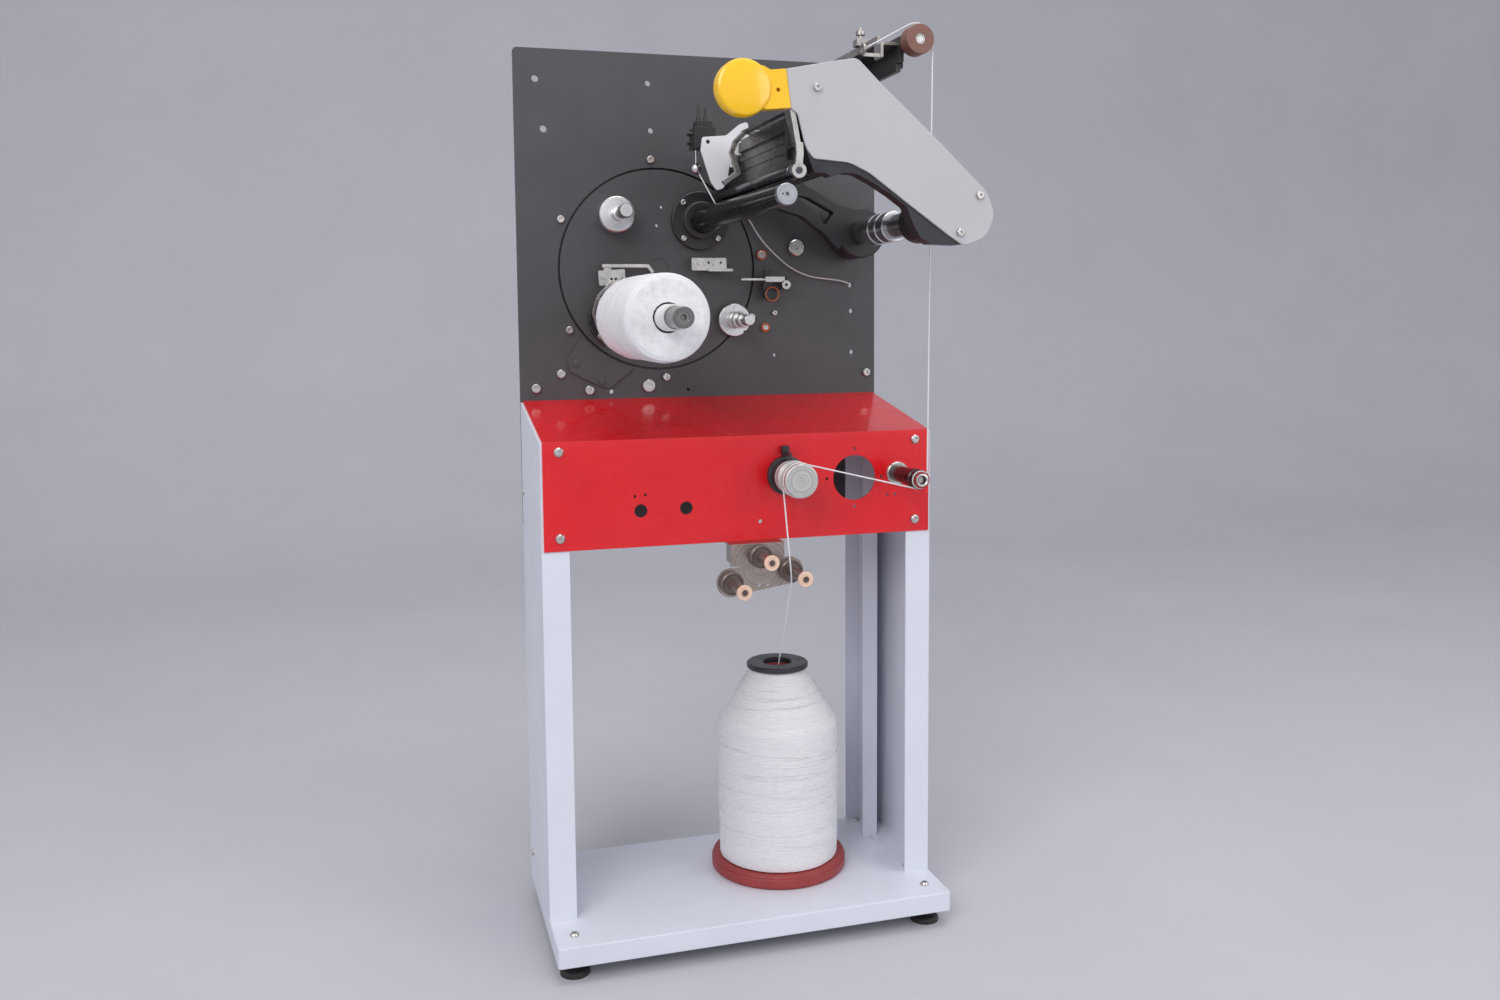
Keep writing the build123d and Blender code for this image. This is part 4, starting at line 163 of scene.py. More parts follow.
def painted(name, colour, rough=0.42, coat=0.0, peel=0.25, wear=0.0, wear_colour=None, edge=0.0012,
            vary=0.05):
    """Sprayed paint: orange peel, faint dust and rubbed edges."""
    s = Shader(name)
    cloud = s.noise(9, 6, 0.6)
    speck = s.noise(420, 3, 0.5)
    base = s.mix(s.fit(cloud, 0.0, 1.0), scaled(colour, 1 - vary), scaled(colour, 1 + vary))
    base = s.mix(s.fit(speck, 0.0, 0.10, 0.45, 0.75), base, scaled(colour, 0.72))
    if wear:
        worn = s.maths("MULTIPLY", s.edge_mask(0.0016), s.fit(s.noise(55, 6, 0.65), 0.0, 1.0, 0.42, 0.64))
        base = s.mix(s.maths("MULTIPLY", worn, wear), base, wear_colour)
    roughness = s.fit(s.noise(26, 5, 0.6), max(0.04, rough - 0.07), rough + 0.08)
    normal = s.bump(s.noise(650, 2, 0.5), peel, 0.0002, s.soft_edge(edge))
    return s.set(colour=base, rough=roughness, coat=coat, coat_rough=0.06, normal=normal)


def cast(name, colour, rough=0.5, grain=900, strength=0.5):
    """Fine sand-cast or blasted metal under black paint."""
    s = Shader(name)
    pits = s.noise(grain, 4, 0.6)
    cloud = s.noise(18, 5, 0.6)
    base = s.mix(s.fit(cloud, 0.0, 1.0), scaled(colour, 0.75), scaled(colour, 1.3))
    worn = s.maths("MULTIPLY", s.edge_mask(0.0020), s.fit(s.noise(70, 6, 0.7), 0.0, 0.75, 0.45, 0.66))
    base = s.mix(worn, base, rgb(128, 126, 124))
    normal = s.bump(pits, strength, 0.0004, s.soft_edge(0.0018))
    return s.set(colour=base, rough=s.fit(cloud, rough - 0.1, rough + 0.12), metal=0.35, normal=normal)


def milled(name, colour, rough=0.3, grain=(40, 40, 1400), mottled=0.12):
    """Bright metal with a drawn or ground grain that runs across the strongest scale."""
    s = Shader(name)
    lines = s.noise(1.0, 6, 0.7, place=s.moved(scale=grain))
    cloud = s.noise(30, 6, 0.65, distort=0.6)
    base = s.mix(s.fit(cloud, 0.0, 1.0), scaled(colour, 1 - mottled), scaled(colour, 1 + mottled * 0.7))
    stain = s.fit(s.noise(120, 5, 0.7), 0.0, 0.35, 0.55, 0.8)
    base = s.mix(stain, base, scaled(colour, 0.45))
    roughness = s.fit(lines, max(0.05, rough - 0.12), rough + 0.14)
    normal = s.bump(lines, 0.18, 0.0003, s.soft_edge(0.0009))
    return s.set(colour=base, rough=roughness, metal=1.0, normal=normal)


def turned(name, colour, centre, rough=0.25, metal=1.0, rings=2600, depth=0.22, streak=0.16):
    """Metal or plastic turned on a lathe about an axis along Y through centre: rings on ends and sides."""
    s = Shader(name)
    split = [s.node("ShaderNodeSeparateXYZ", {0: s.moved(centre)}).outputs[index] for index in range(3)]
    across, along, upward = split
    squares = s.maths("ADD", s.maths("MULTIPLY", across, across), s.maths("MULTIPLY", upward, upward))
    path = s.maths("ADD", s.maths("SQRT", squares), along)
    marks = s.noise_along(path, rings, 4.0)
    bands = s.noise_along(path, rings * 0.12, 3.0)
    base = s.mix(s.fit(bands, 0.0, 1.0), scaled(colour, 1 - streak), scaled(colour, 1 + streak))
    smear = s.fit(s.noise(60, 5, 0.65), 0.0, 0.3, 0.5, 0.75)
    base = s.mix(smear, base, scaled(colour, 0.55))
    roughness = s.fit(marks, max(0.05, rough - 0.1), rough + 0.14)
    normal = s.bump(marks, depth, 0.00025, s.soft_edge(0.0008))
    return s.set(colour=base, rough=roughness, metal=metal, normal=normal)


def moulded(name, colour, rough=0.4, coat=0.0, grain=500, strength=0.15, vary=0.06, edge=0.0012):
    """Moulded plastic or rubber with a fine texture and small scuffs."""
    s = Shader(name)
    cloud = s.fit(s.noise(22, 5, 0.6), 0.0, 1.0)
    base = s.mix(cloud, scaled(colour, 1 - vary), scaled(colour, 1 + vary))
    scuff = s.fit(s.noise(1.0, 6, 0.7, place=s.moved(scale=(60, 300, 60))), 0.0, 0.3, 0.58, 0.8)
    base = s.mix(scuff, base, s.mix(0.5, colour, rgb(190, 186, 182)))
    roughness = s.fit(s.noise(45, 5), rough - 0.07, rough + 0.1)
    normal = s.bump(s.noise(grain, 3, 0.5), strength, 0.0003, s.soft_edge(edge))
    return s.set(colour=base, rough=roughness, coat=coat, coat_rough=0.08, normal=normal)


def yarn_fibre(name, colour, centre=(0, 0, 0), axis="Z", pitch=1500.0):
    """Spun yarn: tiny twisted fibres, a soft sheen and shade between the turns."""
    s = Shader(name)
    scale = {"Z": (60, 60, pitch), "Y": (60, pitch, 60)}[axis]
    turns = s.noise(1.0, 5, 0.7, place=s.moved(centre, scale), distort=0.4)
    fuzz = s.noise(2600, 4, 0.7)
    base = s.mix(s.fit(turns, 0.0, 1.0, 0.34, 0.60), scaled(colour, 0.80), colour)
    base = s.mix(s.fit(s.noise(14, 4), 0.0, 0.35), base, scaled(colour, 0.90))
    height = s.maths("ADD", turns, s.maths("MULTIPLY", fuzz, 0.5))
    return s.set(colour=base, rough=0.86, sheen=0.25, normal=s.bump(height, 0.55, 0.0006))


# ---------------------------------------------------------------- materials of the frame's pieces
WHITE_YARN = rgb(236, 235, 238)

STAND = painted("stand_paint", rgb(222, 225, 235), rough=0.38, coat=0.1, wear=0.5,
                wear_colour=rgb(180, 180, 184), vary=0.03)
PANEL = painted("panel_paint", rgb(70, 70, 73), rough=0.46, peel=0.5, wear=0.35,
                wear_colour=rgb(135, 135, 138), vary=0.09)
RED = painted("red_paint", rgb(222, 2, 18), rough=0.24, coat=0.5, peel=0.10, wear=0.35,
              wear_colour=rgb(120, 0, 8))
BLACK = painted("black_anodised", rgb(38, 38, 41), rough=0.34, peel=0.4, wear=0.55,
                wear_colour=rgb(140, 138, 136), vary=0.15)
COVER = painted("cover_paint", rgb(188, 185, 188), rough=0.34, coat=0.15, peel=0.2, wear=0.3,
                wear_colour=rgb(140, 138, 140), vary=0.03)
WHITE = painted("white_plate", rgb(226, 226, 228), rough=0.35, coat=0.1, peel=0.2, wear=0.6,
                wear_colour=rgb(150, 148, 146))
TRAVERSE_BLACK = painted("traverse_black", rgb(26, 26, 29), rough=0.28, coat=0.1, peel=0.15, wear=0.5,
                         wear_colour=rgb(120, 118, 116), vary=0.2)
CASTING = cast("dark_casting", rgb(48, 48, 51), rough=0.42)
MOTOR = cast("motor_paint", rgb(38, 38, 41), grain=1200, strength=0.3)
SCREW = milled("screw_steel", rgb(196, 192, 188), rough=0.24, grain=(500, 500, 500), mottled=0.2)
SHEET = milled("bright_sheet", rgb(198, 194, 190), rough=0.26, grain=(60, 900, 60), mottled=0.22)
RAIL = milled("mottled_rail", rgb(170, 165, 160), rough=0.34, grain=(60, 60, 60), mottled=0.35)
GEAR = milled("gear_steel", rgb(122, 120, 118), rough=0.36, grain=(700, 30, 700), mottled=0.18)
FOOT = moulded("foot_rubber", rgb(34, 34, 36), rough=0.55, grain=700, strength=0.3)
CAP = moulded("cap_yellow", rgb(253, 196, 4), rough=0.22, coat=0.5, grain=300, strength=0.06, vary=0.03,
              edge=0.002)
PAPER = moulded("paper_tube", rgb(226, 226, 224), rough=0.6, grain=900, strength=0.3, vary=0.04)
CABLE = moulded("cable_sheath", rgb(196, 193, 190), rough=0.5, grain=800, strength=0.1)
BOBBIN_RED = moulded("bobbin_red", rgb(152, 52, 52), rough=0.48, coat=0.1, grain=420, strength=0.35,
                     vary=0.12, edge=0.003)
BOBBIN_BLACK = moulded("bobbin_black", rgb(40, 40, 43), rough=0.34, coat=0.15, strength=0.1)
THREAD = yarn_fibre("thread", WHITE_YARN, pitch=300.0)

LOOKS = {
    "foot_pads": FOOT, "base_tray": STAND, "side_frame_left": STAND, "side_frame_right": STAND,
    "rear_posts": STAND, "frame_screws": SCREW, "back_panel": PANEL, "panel_screws": SCREW,
    "front_housing": RED, "turret_disc": PANEL, "turret_gear": GEAR, "index_pinion": GEAR,
    "index_motor": MOTOR, "centre_plug": PANEL, "spindle_flanges": BLACK, "turret_screws": SCREW,
    "spindle_motors": MOTOR, "finger_brackets": SHEET, "package_tube": PAPER, "doff_plate": PANEL,
    "lever_block": BLACK, "yarn_lever": SHEET, "arm_rear_casting": CASTING, "arm_front_casting": CASTING,
    "arm_cover": COVER, "arm_screws": SCREW, "arm_cap": CAP, "traverse_box": TRAVERSE_BLACK,
    "guide_plate": WHITE, "guide_bracket": SHEET, "end_bracket": SHEET, "valve_block": BLACK,
    "traverse_guide": WHITE, "beam_plate": BLACK, "beam_rail": RAIL, "roller_pins": SCREW,
    "tension_body": BLACK, "bobbin_base": BOBBIN_RED, "bobbin_cap": BOBBIN_BLACK,
    "turret_ring": turned("ring_steel", rgb(64, 64, 66), TURRET, rough=0.32),
    "turret_bosses": turned("boss_alloy", rgb(205, 204, 204), UPPER_BOSS, rough=0.28),
    "winding_mandrel": turned("mandrel_steel", rgb(58, 58, 62), MANDREL, rough=0.16, rings=900, depth=0.08,
                              streak=0.30),
    "mandrel_cap": turned("mandrel_disc", rgb(170, 172, 176), MANDREL, rough=0.24),
    "doff_spindle": turned("doff_steel", rgb(120, 118, 118), DOFF, rough=0.22, streak=0.35),
    "pivot_shaft": turned("pivot_steel", rgb(150, 148, 148), PIVOT),
    "arm_tube": turned("arm_tube_alloy", rgb(196, 196, 198), PIVOT, rough=0.2, streak=0.3),
    "ball_guide": turned("ball_alloy", rgb(205, 205, 208), BALL, rough=0.16),
    "contact_roller": turned("roller_steel", rgb(84, 86, 92), ROLLER, rough=0.14, rings=900, depth=0.08,
                             streak=0.35),
    "top_roller": turned("roller_brown", rgb(126, 86, 76), TOP_ROLLER, rough=0.46, metal=0.0, rings=1800,
                         depth=0.2, streak=0.08),
    "feed_roller": turned("feed_maroon", rgb(54, 20, 26), FEED, rough=0.24, metal=0.1, rings=1800,
                          depth=0.12),
    "tension_wheel": turned("tension_alloy", rgb(196, 194, 192), TENSION, rough=0.3, metal=0.75, rings=1900,
                            depth=0.15),
    "snubber_bracket": turned("snubber_plate", rgb(170, 158, 150), SNUBBER_PLATE, rough=0.24, streak=0.2),
}
for side, centre in SNUBBERS.items():
    LOOKS["snubber_roller_" + side] = turned(
        f"snubber_roller_{side}_glaze", rgb(118, 104, 98), centre, rough=0.28, metal=0.35, rings=1500,
        depth=0.1, streak=0.25)


# ---------------------------------------------------------------- smooth shading of the frame's pieces
def smoothing_group(angle=math.radians(28)):
    """Joins the frame's split corners and shades everything but true edges smooth."""
    group = bpy.data.node_groups.new("smooth_shading", "GeometryNodeTree")
    group.interface.new_socket("Geometry", in_out="INPUT", socket_type="NodeSocketGeometry")
    group.interface.new_socket("Geometry", in_out="OUTPUT", socket_type="NodeSocketGeometry")
    new, link = group.nodes.new, group.links.new
    start, end = new("NodeGroupInput"), new("NodeGroupOutput")
    forget = new("GeometryNodeRemoveAttribute")
    forget.inputs["Name"].default_value = "custom_normal"
    weld = new("GeometryNodeMergeByDistance")
    weld.inputs["Distance"].default_value = 0.000002
    faces, edges = new("GeometryNodeSetShadeSmooth"), new("GeometryNodeSetShadeSmooth")
    faces.domain, edges.domain = "FACE", "EDGE"
    faces.inputs["Shade Smooth"].default_value = True
    edges.inputs["Shade Smooth"].default_value = False
    bend, sharp = new("GeometryNodeInputMeshEdgeAngle"), new("FunctionNodeCompare")
    sharp.data_type, sharp.operation = "FLOAT", "GREATER_THAN"
    sharp.inputs[1].default_value = angle
    link(start.outputs[0], forget.inputs["Geometry"])
    link(forget.outputs[0], weld.inputs["Geometry"])
    link(weld.outputs[0], faces.inputs["Geometry"])
    link(faces.outputs[0], edges.inputs["Geometry"])
    link(bend.outputs["Unsigned Angle"], sharp.inputs[0])
    link(sharp.outputs[0], edges.inputs["Selection"])
    link(edges.outputs[0], end.inputs[0])
    return group


SMOOTHING = smoothing_group()
for name, node in NODES.items():
    node.modifiers.new("smooth", "NODES").node_group = SMOOTHING
    if name in LOOKS:
        node.data.materials.clear()
        node.data.materials.append(LOOKS[name])


# ---------------------------------------------------------------- pieces
def placed(made, material, body):
    """Links a new object, and ties it to its body."""
    bpy.context.scene.collection.objects.link(made)
    made.data.materials.append(material)
    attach(made, body)
    return made


def new_mesh(name, vertices, faces, material, body, smooth=True):
    mesh = bpy.data.meshes.new(name)
    mesh.from_pydata([tuple(v) for v in vertices], [], faces)
    mesh.validate()
    if smooth:
        mesh.polygons.foreach_set("use_smooth", [True] * len(mesh.polygons))
    return placed(bpy.data.objects.new(name, mesh), material, body)


def new_curve(name, radius, rounding):
    """An empty curve with a round section; radius in millimetres."""
    curve = bpy.data.curves.new(name, "CURVE")
    curve.dimensions = "3D"
    curve.bevel_depth = radius * MM
    curve.bevel_resolution = rounding
    return curve


def add_spline(curve, points, order):
    """Adds one open NURBS spline through its ends; points in millimetres."""
    spline = curve.splines.new("NURBS")
    spline.points.add(len(points) - 1)
    for control, (x, y, z) in zip(spline.points, points):
        control.co = (x * MM, y * MM, z * MM, 1.0)
    spline.order_u = order
    spline.use_endpoint_u = True


# ---------------------------------------------------------------- camera
CAMERA_AT = Vector((-602.62, -2162.52, 1085.66)) * MM
CAMERA_RIGHT = Vector((0.95863, -0.28454, -0.00767))
CAMERA_DOWN = Vector((-0.03247, -0.08255, -0.99606))
CAMERA_AHEAD = Vector((0.28278, 0.95511, -0.08837))
LENS = 30.229
LENS_SHIFT_Y = -0.04667


def make_camera():
    data = bpy.data.cameras.new("camera")
    data.sensor_width = 36.0
    data.lens = LENS
    data.shift_y = LENS_SHIFT_Y
    data.clip_start, data.clip_end = 0.05, 60.0
    camera = bpy.data.objects.new("camera", data)
    bpy.context.scene.collection.objects.link(camera)
    turn = Matrix((CAMERA_RIGHT, -CAMERA_DOWN, -CAMERA_AHEAD)).transposed().to_4x4()
    camera.matrix_world = Matrix.Translation(CAMERA_AT) @ turn
    bpy.context.scene.camera = camera


make_camera()


# ---------------------------------------------------------------- taut yarn and the sensor's cable
YARN_THICK = 2.6
CABLE_THICK = 3.0


def line(name, points, thick, material, body, node):
    """A cord along one smooth spline, which goes back into the object; points in millimetres."""
    curve = new_curve(name, thick / 2, 3)
    curve.resolution_u = 16
    curve.use_fill_caps = True
    add_spline(curve, points, 3)
    made = placed(bpy.data.objects.new(name, curve), material, body)
    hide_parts(node)


line("supply_thread",
     [(95.0, 27.0, 430.0), (63.6, -149.8, 628.2), (61.3, -163.0, 643.0), (59.9, -161.7, 662.9),
      (50.4, -152.8, 798.6), (48.4, -150.9, 827.3), (70.1, -152.5, 843.1), (98.0, -156.0, 836.3),
      (273.8, -178.5, 793.2), (289.2, -180.4, 789.5), (301.9, -181.0, 799.8), (302.7, -179.7, 815.7),
      (334.7, -123.2, 1542.9), (336.2, -120.5, 1577.1), (308.0, -114.7, 1593.6), (277.9, -111.3, 1577.4),
      (214.0, -104.0, 1543.0)],
     YARN_THICK, THREAD, "frame", "yarn_run")
line("arm_thread",
     [(-38.5, 49.0, 1342.5), (-25.9, 43.5, 1317.0), (-13.3, 38.0, 1291.6)],
     YARN_THICK, THREAD, "arm", "arm_yarn")
line("sensor_lead",
     [(90.0, 179.0, 1273.0), (90.5, 170.0, 1272.5), (101.0, 170.0, 1253.0), (118.0, 170.0, 1230.0),
      (141.0, 170.0, 1207.0), (171.0, 170.0, 1182.0), (210.0, 170.0, 1165.0), (246.0, 170.0, 1161.0),
      (276.0, 170.0, 1158.0), (295.4, 171.0, 1151.5), (299.4, 187.0, 1149.5)],
     CABLE_THICK, CABLE, "frame", "sensor_cable")


# ---------------------------------------------------------------- yarn on the bobbin and on the package
BOBBIN_CENTRE = (BOBBIN[0] / MM, BOBBIN[1] / MM)
PACKAGE_CENTRE = across_y(DOFF)
# (place along the axis, radius) of each winding's outline, in millimetres
BOBBIN_PROFILE = [(89.2, 33), (89.2, 103), (91, 109.5), (290, 111.8), (341, 110.2), (352, 106), (360, 100),
                  (402, 74), (432, 53.5), (439.7, 49.5), (439.7, 33)]
PACKAGE_PROFILE = [(3.8, 28), (3.8, 60), (2, 66), (-5, 69.5), (-120, 70.1), (-243, 69.5), (-249, 67),
                   (-251.8, 60.5), (-251.8, 24)]
# (height, radius) at which the bobbin's loose strands lie
BOBBIN_STATIONS = ((91, 110.0), (290, 112.3), (341, 110.8), (352, 106.5), (402, 74.5), (432, 54))
PACKAGE_STRAND_RADIUS = 70.5
ROWS_PER_TURN = 4


def around(centre, axis, place, radius, angle):
    """A point, in millimetres, at an angle round an axis along Z or Y."""
    first, second = centre[0] + radius * math.cos(angle), centre[1] + radius * math.sin(angle)
    return (first, second, place) if axis == "Z" else (first, place, second)


def outline_rows(profile, pitch):
    """The outline's points, close enough together to carry the ridges of single turns."""
    rows = []
    for (p0, r0), (p1, r1) in zip(profile, profile[1:]):
        steps = max(2, int(math.hypot(p1 - p0, r1 - r0) / (pitch / ROWS_PER_TURN)))
        rows += [(p0 + (p1 - p0) * k / steps, r0 + (r1 - r0) * k / steps) for k in range(steps)]
    return rows + [profile[-1]]


def wound_form(name, profile, centre, axis, pitch, ridge, wander, body, material, columns):
    """A winding: a turned form whose skin carries the ridges of its turns, uneven as wound yarn is."""
    rows = outline_rows(profile, pitch)
    vertices, faces = [], []
    run = 0.0
    for row, (place, radius) in enumerate(rows):
        if row:
            run += math.hypot(place - rows[row - 1][0], radius - rows[row - 1][1])
        for column in range(columns):
            angle = 2 * math.pi * column / columns
            c, s = math.cos(angle), math.sin(angle)
            slow = noise.noise(Vector((c * 1.3, s * 1.3, place * 0.035)))
            shift = noise.noise(Vector((c * 2.2, s * 2.2, place * 0.012 + 7))) * wander
            phase = (run + shift * pitch) / pitch + angle / (2 * math.pi)
            turn = math.floor(phase)
            size = 0.55 + 0.9 * abs(noise.noise(Vector((turn * 0.73, angle * 0.55, 3.0))))
            lift = ridge * (abs(math.sin(math.pi * phase)) - 0.5) * size + slow * ridge * 1.2
            vertices.append([part * MM for part in around(centre, axis, place, radius + lift, angle)])
    for row in range(len(rows) - 1):
        for column in range(columns):
            following = (column + 1) % columns
            quad = (row * columns + column, row * columns + following, (row + 1) * columns + following,
                    (row + 1) * columns + column)
            faces.append(quad if axis == "Z" else quad[::-1])
    return new_mesh(name, vertices, faces, material, body)


def strands(name, radius_at, centre, axis, low, high, count, thick, body, seed, climb):
    """Single turns that lie across the others, as a few loose strands on a winding; millimetres."""
    bow_most, steps, proud, tuck = 6, 22, 0.5, 2.5
    dice = random.Random(seed)
    curve = new_curve(name, thick, 1)
    for _ in range(count):
        start = dice.uniform(0, 2 * math.pi)
        sweep = dice.uniform(1.2, 3.4)
        place = dice.uniform(low, high)
        rise = dice.uniform(-climb, climb)
        bow = dice.uniform(-bow_most, bow_most)
        points = []
        for k in range(steps + 1):
            share = k / steps
            along = min(high, max(low, place + rise * share + bow * math.sin(math.pi * share)))
            reach = radius_at(along) + proud - (tuck if k in (0, steps) else 0)
            points.append(around(centre, axis, along, reach, start + sweep * share))
        add_spline(curve, points, 4)
    placed(bpy.data.objects.new(name, curve), THREAD, body)


def bobbin_radius(z):
    for (z0, r0), (z1, r1) in zip(BOBBIN_STATIONS, BOBBIN_STATIONS[1:]):
        if z <= z1:
            return r0 + (r1 - r0) * max(0.0, z - z0) / (z1 - z0)
    return BOBBIN_STATIONS[-1][1]


BOBBIN_YARN = yarn_fibre("bobbin_thread", WHITE_YARN, BOBBIN, "Z", pitch=900.0)
PACKAGE_YARN = yarn_fibre("package_thread", WHITE_YARN, DOFF, "Y", pitch=900.0)
bobbin_winding = wound_form("bobbin_winding", BOBBIN_PROFILE, BOBBIN_CENTRE, "Z", pitch=3.4, ridge=0.85,
                            wander=1.6, body="frame", material=BOBBIN_YARN, columns=200)
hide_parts("bobbin_yarn")
package_winding = wound_form("package_winding", PACKAGE_PROFILE, PACKAGE_CENTRE, "Y", pitch=3.0, ridge=0.55,
                             wander=2.6, body="package", material=PACKAGE_YARN, columns=180)
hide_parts("package_yarn")
strands("bobbin_strands", bobbin_radius, BOBBIN_CENTRE, "Z", low=96, high=425, count=46, thick=0.45,
        body="frame", seed=11, climb=16)
strands("package_strands", lambda y: PACKAGE_STRAND_RADIUS, PACKAGE_CENTRE, "Y", low=-237, high=-9, count=30,
        thick=0.35, body="package", seed=5, climb=70)


# ---------------------------------------------------------------- small fittings left to the look
RING_COLUMNS = 72
ORANGE = moulded("ring_orange", rgb(196, 92, 22), rough=0.35, coat=0.2, grain=400, strength=0.1)
RED_RING = moulded("ring_red", rgb(190, 30, 30), rough=0.3, coat=0.3, grain=400, strength=0.1)
BLUE = moulded("ring_blue", rgb(40, 82, 150), rough=0.35, coat=0.2, grain=400, strength=0.1)
PALE = moulded("ring_white", rgb(232, 230, 228), rough=0.32, coat=0.2, grain=400, strength=0.1)
PEACH = moulded("cap_peach", rgb(232, 196, 172), rough=0.35, coat=0.2, strength=0.12, vary=0.1)
RUBBER = moulded("ring_black", rgb(26, 26, 28), rough=0.5, strength=0.2)


def lathe(name, centre, profile, material, body, slot):
    """A turned piece about an axis along Y; its centre and closed profile of (place, radius) are in mm."""
    made = bmesh.new()
    rings = []
    for place, radius in profile:
        ring = []
        for column in range(RING_COLUMNS):
            angle = 2 * math.pi * column / RING_COLUMNS
            spot = around(centre, "Y", place, radius, angle)
            ring.append(made.verts.new([part * MM for part in spot]))
        rings.append(ring)
    for first, second in zip(rings, rings[1:] + rings[:1]):
        for column in range(RING_COLUMNS):
            following = (column + 1) % RING_COLUMNS
            made.faces.new((first[column], first[following], second[following], second[column]))
    bmesh.ops.recalc_face_normals(made, faces=made.faces)
    made.verts.index_update()
    vertices = [v.co.copy() for v in made.verts]
    faces = [[v.index for v in f.verts] for f in made.faces]
    made.free()
    piece = new_mesh(name, vertices, faces, material, body, smooth=False)
    piece.modifiers.new("smooth", "NODES").node_group = SMOOTHING


def round_ring(y, middle, thick):
    """The closed profile of a ring with a round section, thick being its radius."""
    angles = [math.pi * k / 6 for k in range(12)]
    return [(y + thick * math.cos(angle), middle + thick * math.sin(angle)) for angle in angles]


def snubber_cap(side, front):
    """The pale rim round a snubber roller's end, and the raised ring round its cross-shaped recess."""
    centre = across_y(SNUBBERS[side])
    rim = [(front + 4.6, 12.5), (front + 4.6, 13.1), (front + 0.6, 13.1), (front - 0.3, 12.2),
           (front - 0.3, 7.4), (front - 0.02, 7.4), (front + 0.8, 12.0)]
    hub = [(front - 0.02, 7.38), (front - 0.9, 6.9), (front - 0.9, 5.6), (front - 0.02, 5.4)]
    lathe(f"snubber_{side}_cap_ring", centre, rim, PEACH, "snubber_" + side, "paper_tube")
    lathe(f"snubber_{side}_cap_face", centre, hub, PEACH, "snubber_" + side, "paper_tube")


# (x, z) of pieces of the panel, in millimetres
PANEL_SCREW_LOW = (122.3, 1067.6)
PANEL_SCREW_HIGH = (115.2, 1206.9)
KNOB = (127.0, 1131.5)
# the front face of each snubber roller along Y, in millimetres
SNUBBER_FRONTS = {"upper": -190.0, "right": -205.0, "left": -205.0}
# closed profiles of (place along Y, radius), in millimetres
FEED_CAP = [(-198.1, 7.0), (-198.1, 12.0), (-200.2, 11.4), (-200.6, 8.6), (-199.6, 7.4)]
FEED_RED = [(-198.1, 12.2), (-198.1, 14.0), (-199.0, 13.6), (-199.0, 12.4)]
TOP_HUB = [(-128.2, 6.6), (-128.2, 8.9), (-131.6, 8.9), (-132.4, 8.2), (-131.8, 6.9)]
FITTINGS = (
    # rings under two screw heads of the panel, and the coloured ring of the lever's knob
    ("panel_ring_orange", PANEL_SCREW_LOW, round_ring(174.5, 7.4, 1.5), ORANGE, "frame", "cap_yellow"),
    ("panel_ring_blue", PANEL_SCREW_HIGH, round_ring(175.5, 8.6, 1.2), BLUE, "frame", "cable_grey"),
    ("panel_ring_rust", PANEL_SCREW_HIGH, round_ring(173.0, 8.8, 1.2), ORANGE, "frame", "cap_yellow"),
    ("knob_ring", KNOB, round_ring(144.5, 13.0, 1.1), ORANGE, "frame", "cap_yellow"),
    # rings and hubs of the yarn rollers
    ("feed_ring_white", across_y(FEED), round_ring(-192.5, 14.6, 1.3), PALE, "feed_roller", "plate_white"),
    ("feed_ring_red", across_y(FEED), FEED_RED, RED_RING, "feed_roller", "red_paint"),
    ("feed_cap", across_y(FEED), FEED_CAP, SCREW, "feed_roller", "screw_steel"),
    ("tension_ring_white", across_y(TENSION), round_ring(-168.0, 29.2, 1.5), PALE, "tension_wheel",
     "plate_white"),
    ("tension_ring_dark", across_y(TENSION), round_ring(-163.4, 26.9, 1.6), RUBBER, "tension_wheel",
     "black_anodised"),
    ("top_hub", across_y(TOP_ROLLER), TOP_HUB, PALE, "top_roller", "plate_white"),
)
for fitting in FITTINGS:
    lathe(*fitting)
for side, front in SNUBBER_FRONTS.items():
    snubber_cap(side, front)


# ---------------------------------------------------------------- stage and lamps
FLOOR_FRONT_Y = -9.0
BACKDROP_Y = 3.2
BACKDROP_RADIUS = 2.4
BACKDROP_STEPS = 12
BACKDROP_TOP = 9.0
STAGE_HALF_WIDTH = 14.0
WORLD_COLOUR = (0.93, 0.94, 1.0, 1.0)
WORLD_LEVEL = 0.60
WORLD_LEVEL_REFLECTED = 1.0


def stage_material():
    s = Shader("studio_floor")
    grey = rgb(196, 196, 202)
    base = s.mix(s.fit(s.noise(1.6, 6, 0.6), 0.0, 1.0), scaled(grey, 0.97), scaled(grey, 1.03))
    return s.set(colour=base, rough=0.6, normal=s.bump(s.noise(60, 4), 0.03, 0.001))


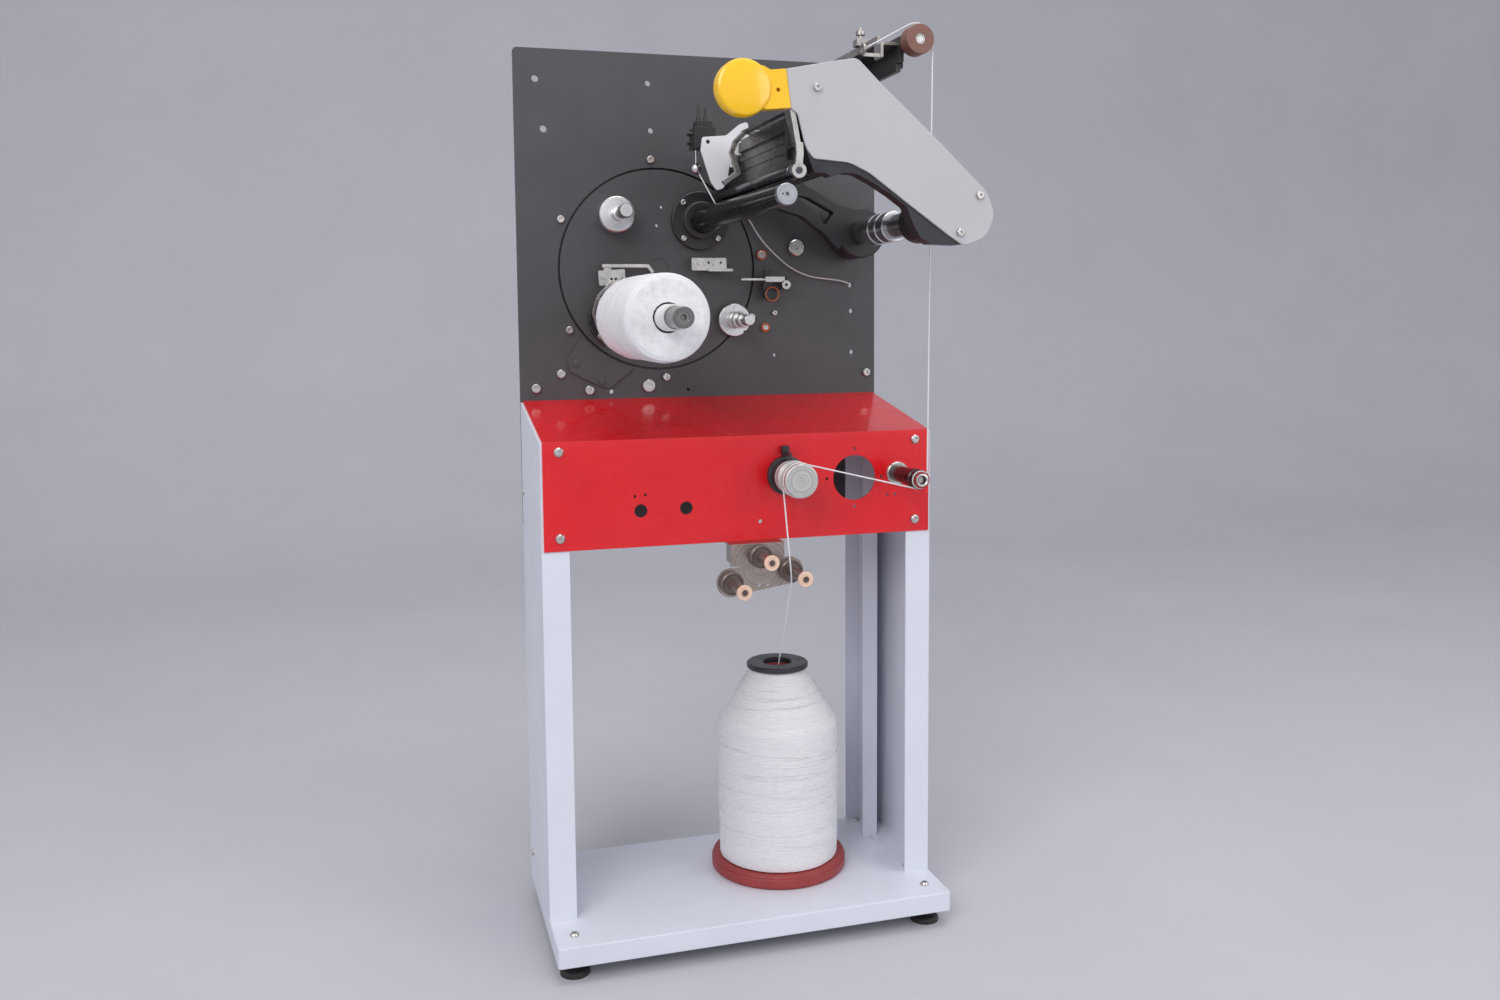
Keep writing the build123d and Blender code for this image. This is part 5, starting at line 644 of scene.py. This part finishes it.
def make_stage():
    """A floor that curves up into a backdrop behind the object."""
    section = [(FLOOR_FRONT_Y, 0.0), (BACKDROP_Y, 0.0)]
    for k in range(1, BACKDROP_STEPS + 1):
        angle = math.pi / 2 * k / BACKDROP_STEPS
        y = BACKDROP_Y + BACKDROP_RADIUS * math.sin(angle)
        section.append((y, BACKDROP_RADIUS * (1 - math.cos(angle))))
    section.append((BACKDROP_Y + BACKDROP_RADIUS, BACKDROP_TOP))
    vertices = [(x, y, z) for y, z in section for x in (-STAGE_HALF_WIDTH, STAGE_HALF_WIDTH)]
    faces = [(2 * k, 2 * k + 1, 2 * k + 3, 2 * k + 2) for k in range(len(section) - 1)]
    mesh = bpy.data.meshes.new("studio_floor")
    mesh.from_pydata(vertices, [], faces)
    mesh.polygons.foreach_set("use_smooth", [True] * len(mesh.polygons))
    mesh.materials.append(stage_material())
    floor = bpy.data.objects.new("studio_floor", mesh)
    bpy.context.scene.collection.objects.link(floor)


def lamp(name, at, aim, size, power):
    light = bpy.data.lights.new(name, "AREA")
    light.shape = "RECTANGLE"
    light.size, light.size_y = size
    light.energy = power
    made = bpy.data.objects.new(name, light)
    bpy.context.scene.collection.objects.link(made)
    made.location = at
    made.rotation_mode = "QUATERNION"
    made.rotation_quaternion = (Vector(aim) - Vector(at)).to_track_quat("-Z", "Y")


def make_world():
    """A plain pale sky that is brighter in reflections than in the light it gives."""
    world = bpy.data.worlds.new("studio")
    bpy.context.scene.world = world
    world.use_nodes = True
    sky = world.node_tree.nodes["Background"]
    sky.inputs["Color"].default_value = WORLD_COLOUR
    rays = world.node_tree.nodes.new("ShaderNodeLightPath")
    level = world.node_tree.nodes.new("ShaderNodeMapRange")
    level.inputs["To Min"].default_value = WORLD_LEVEL
    level.inputs["To Max"].default_value = WORLD_LEVEL_REFLECTED
    world.node_tree.links.new(rays.outputs["Is Glossy Ray"], level.inputs["Value"])
    world.node_tree.links.new(level.outputs[0], sky.inputs["Strength"])


make_stage()
lamp("key", at=(-2.6, -3.2, 3.4), aim=(0, 0, 0.9), size=(2.4, 2.4), power=84)
lamp("fill", at=(3.0, -3.0, 2.0), aim=(0, 0, 0.9), size=(2.2, 2.6), power=38)
lamp("top", at=(0.2, -0.6, 4.2), aim=(0, 0, 0.8), size=(2.6, 2.0), power=44)
make_world()
bpy.context.scene.view_settings.view_transform = "Standard"
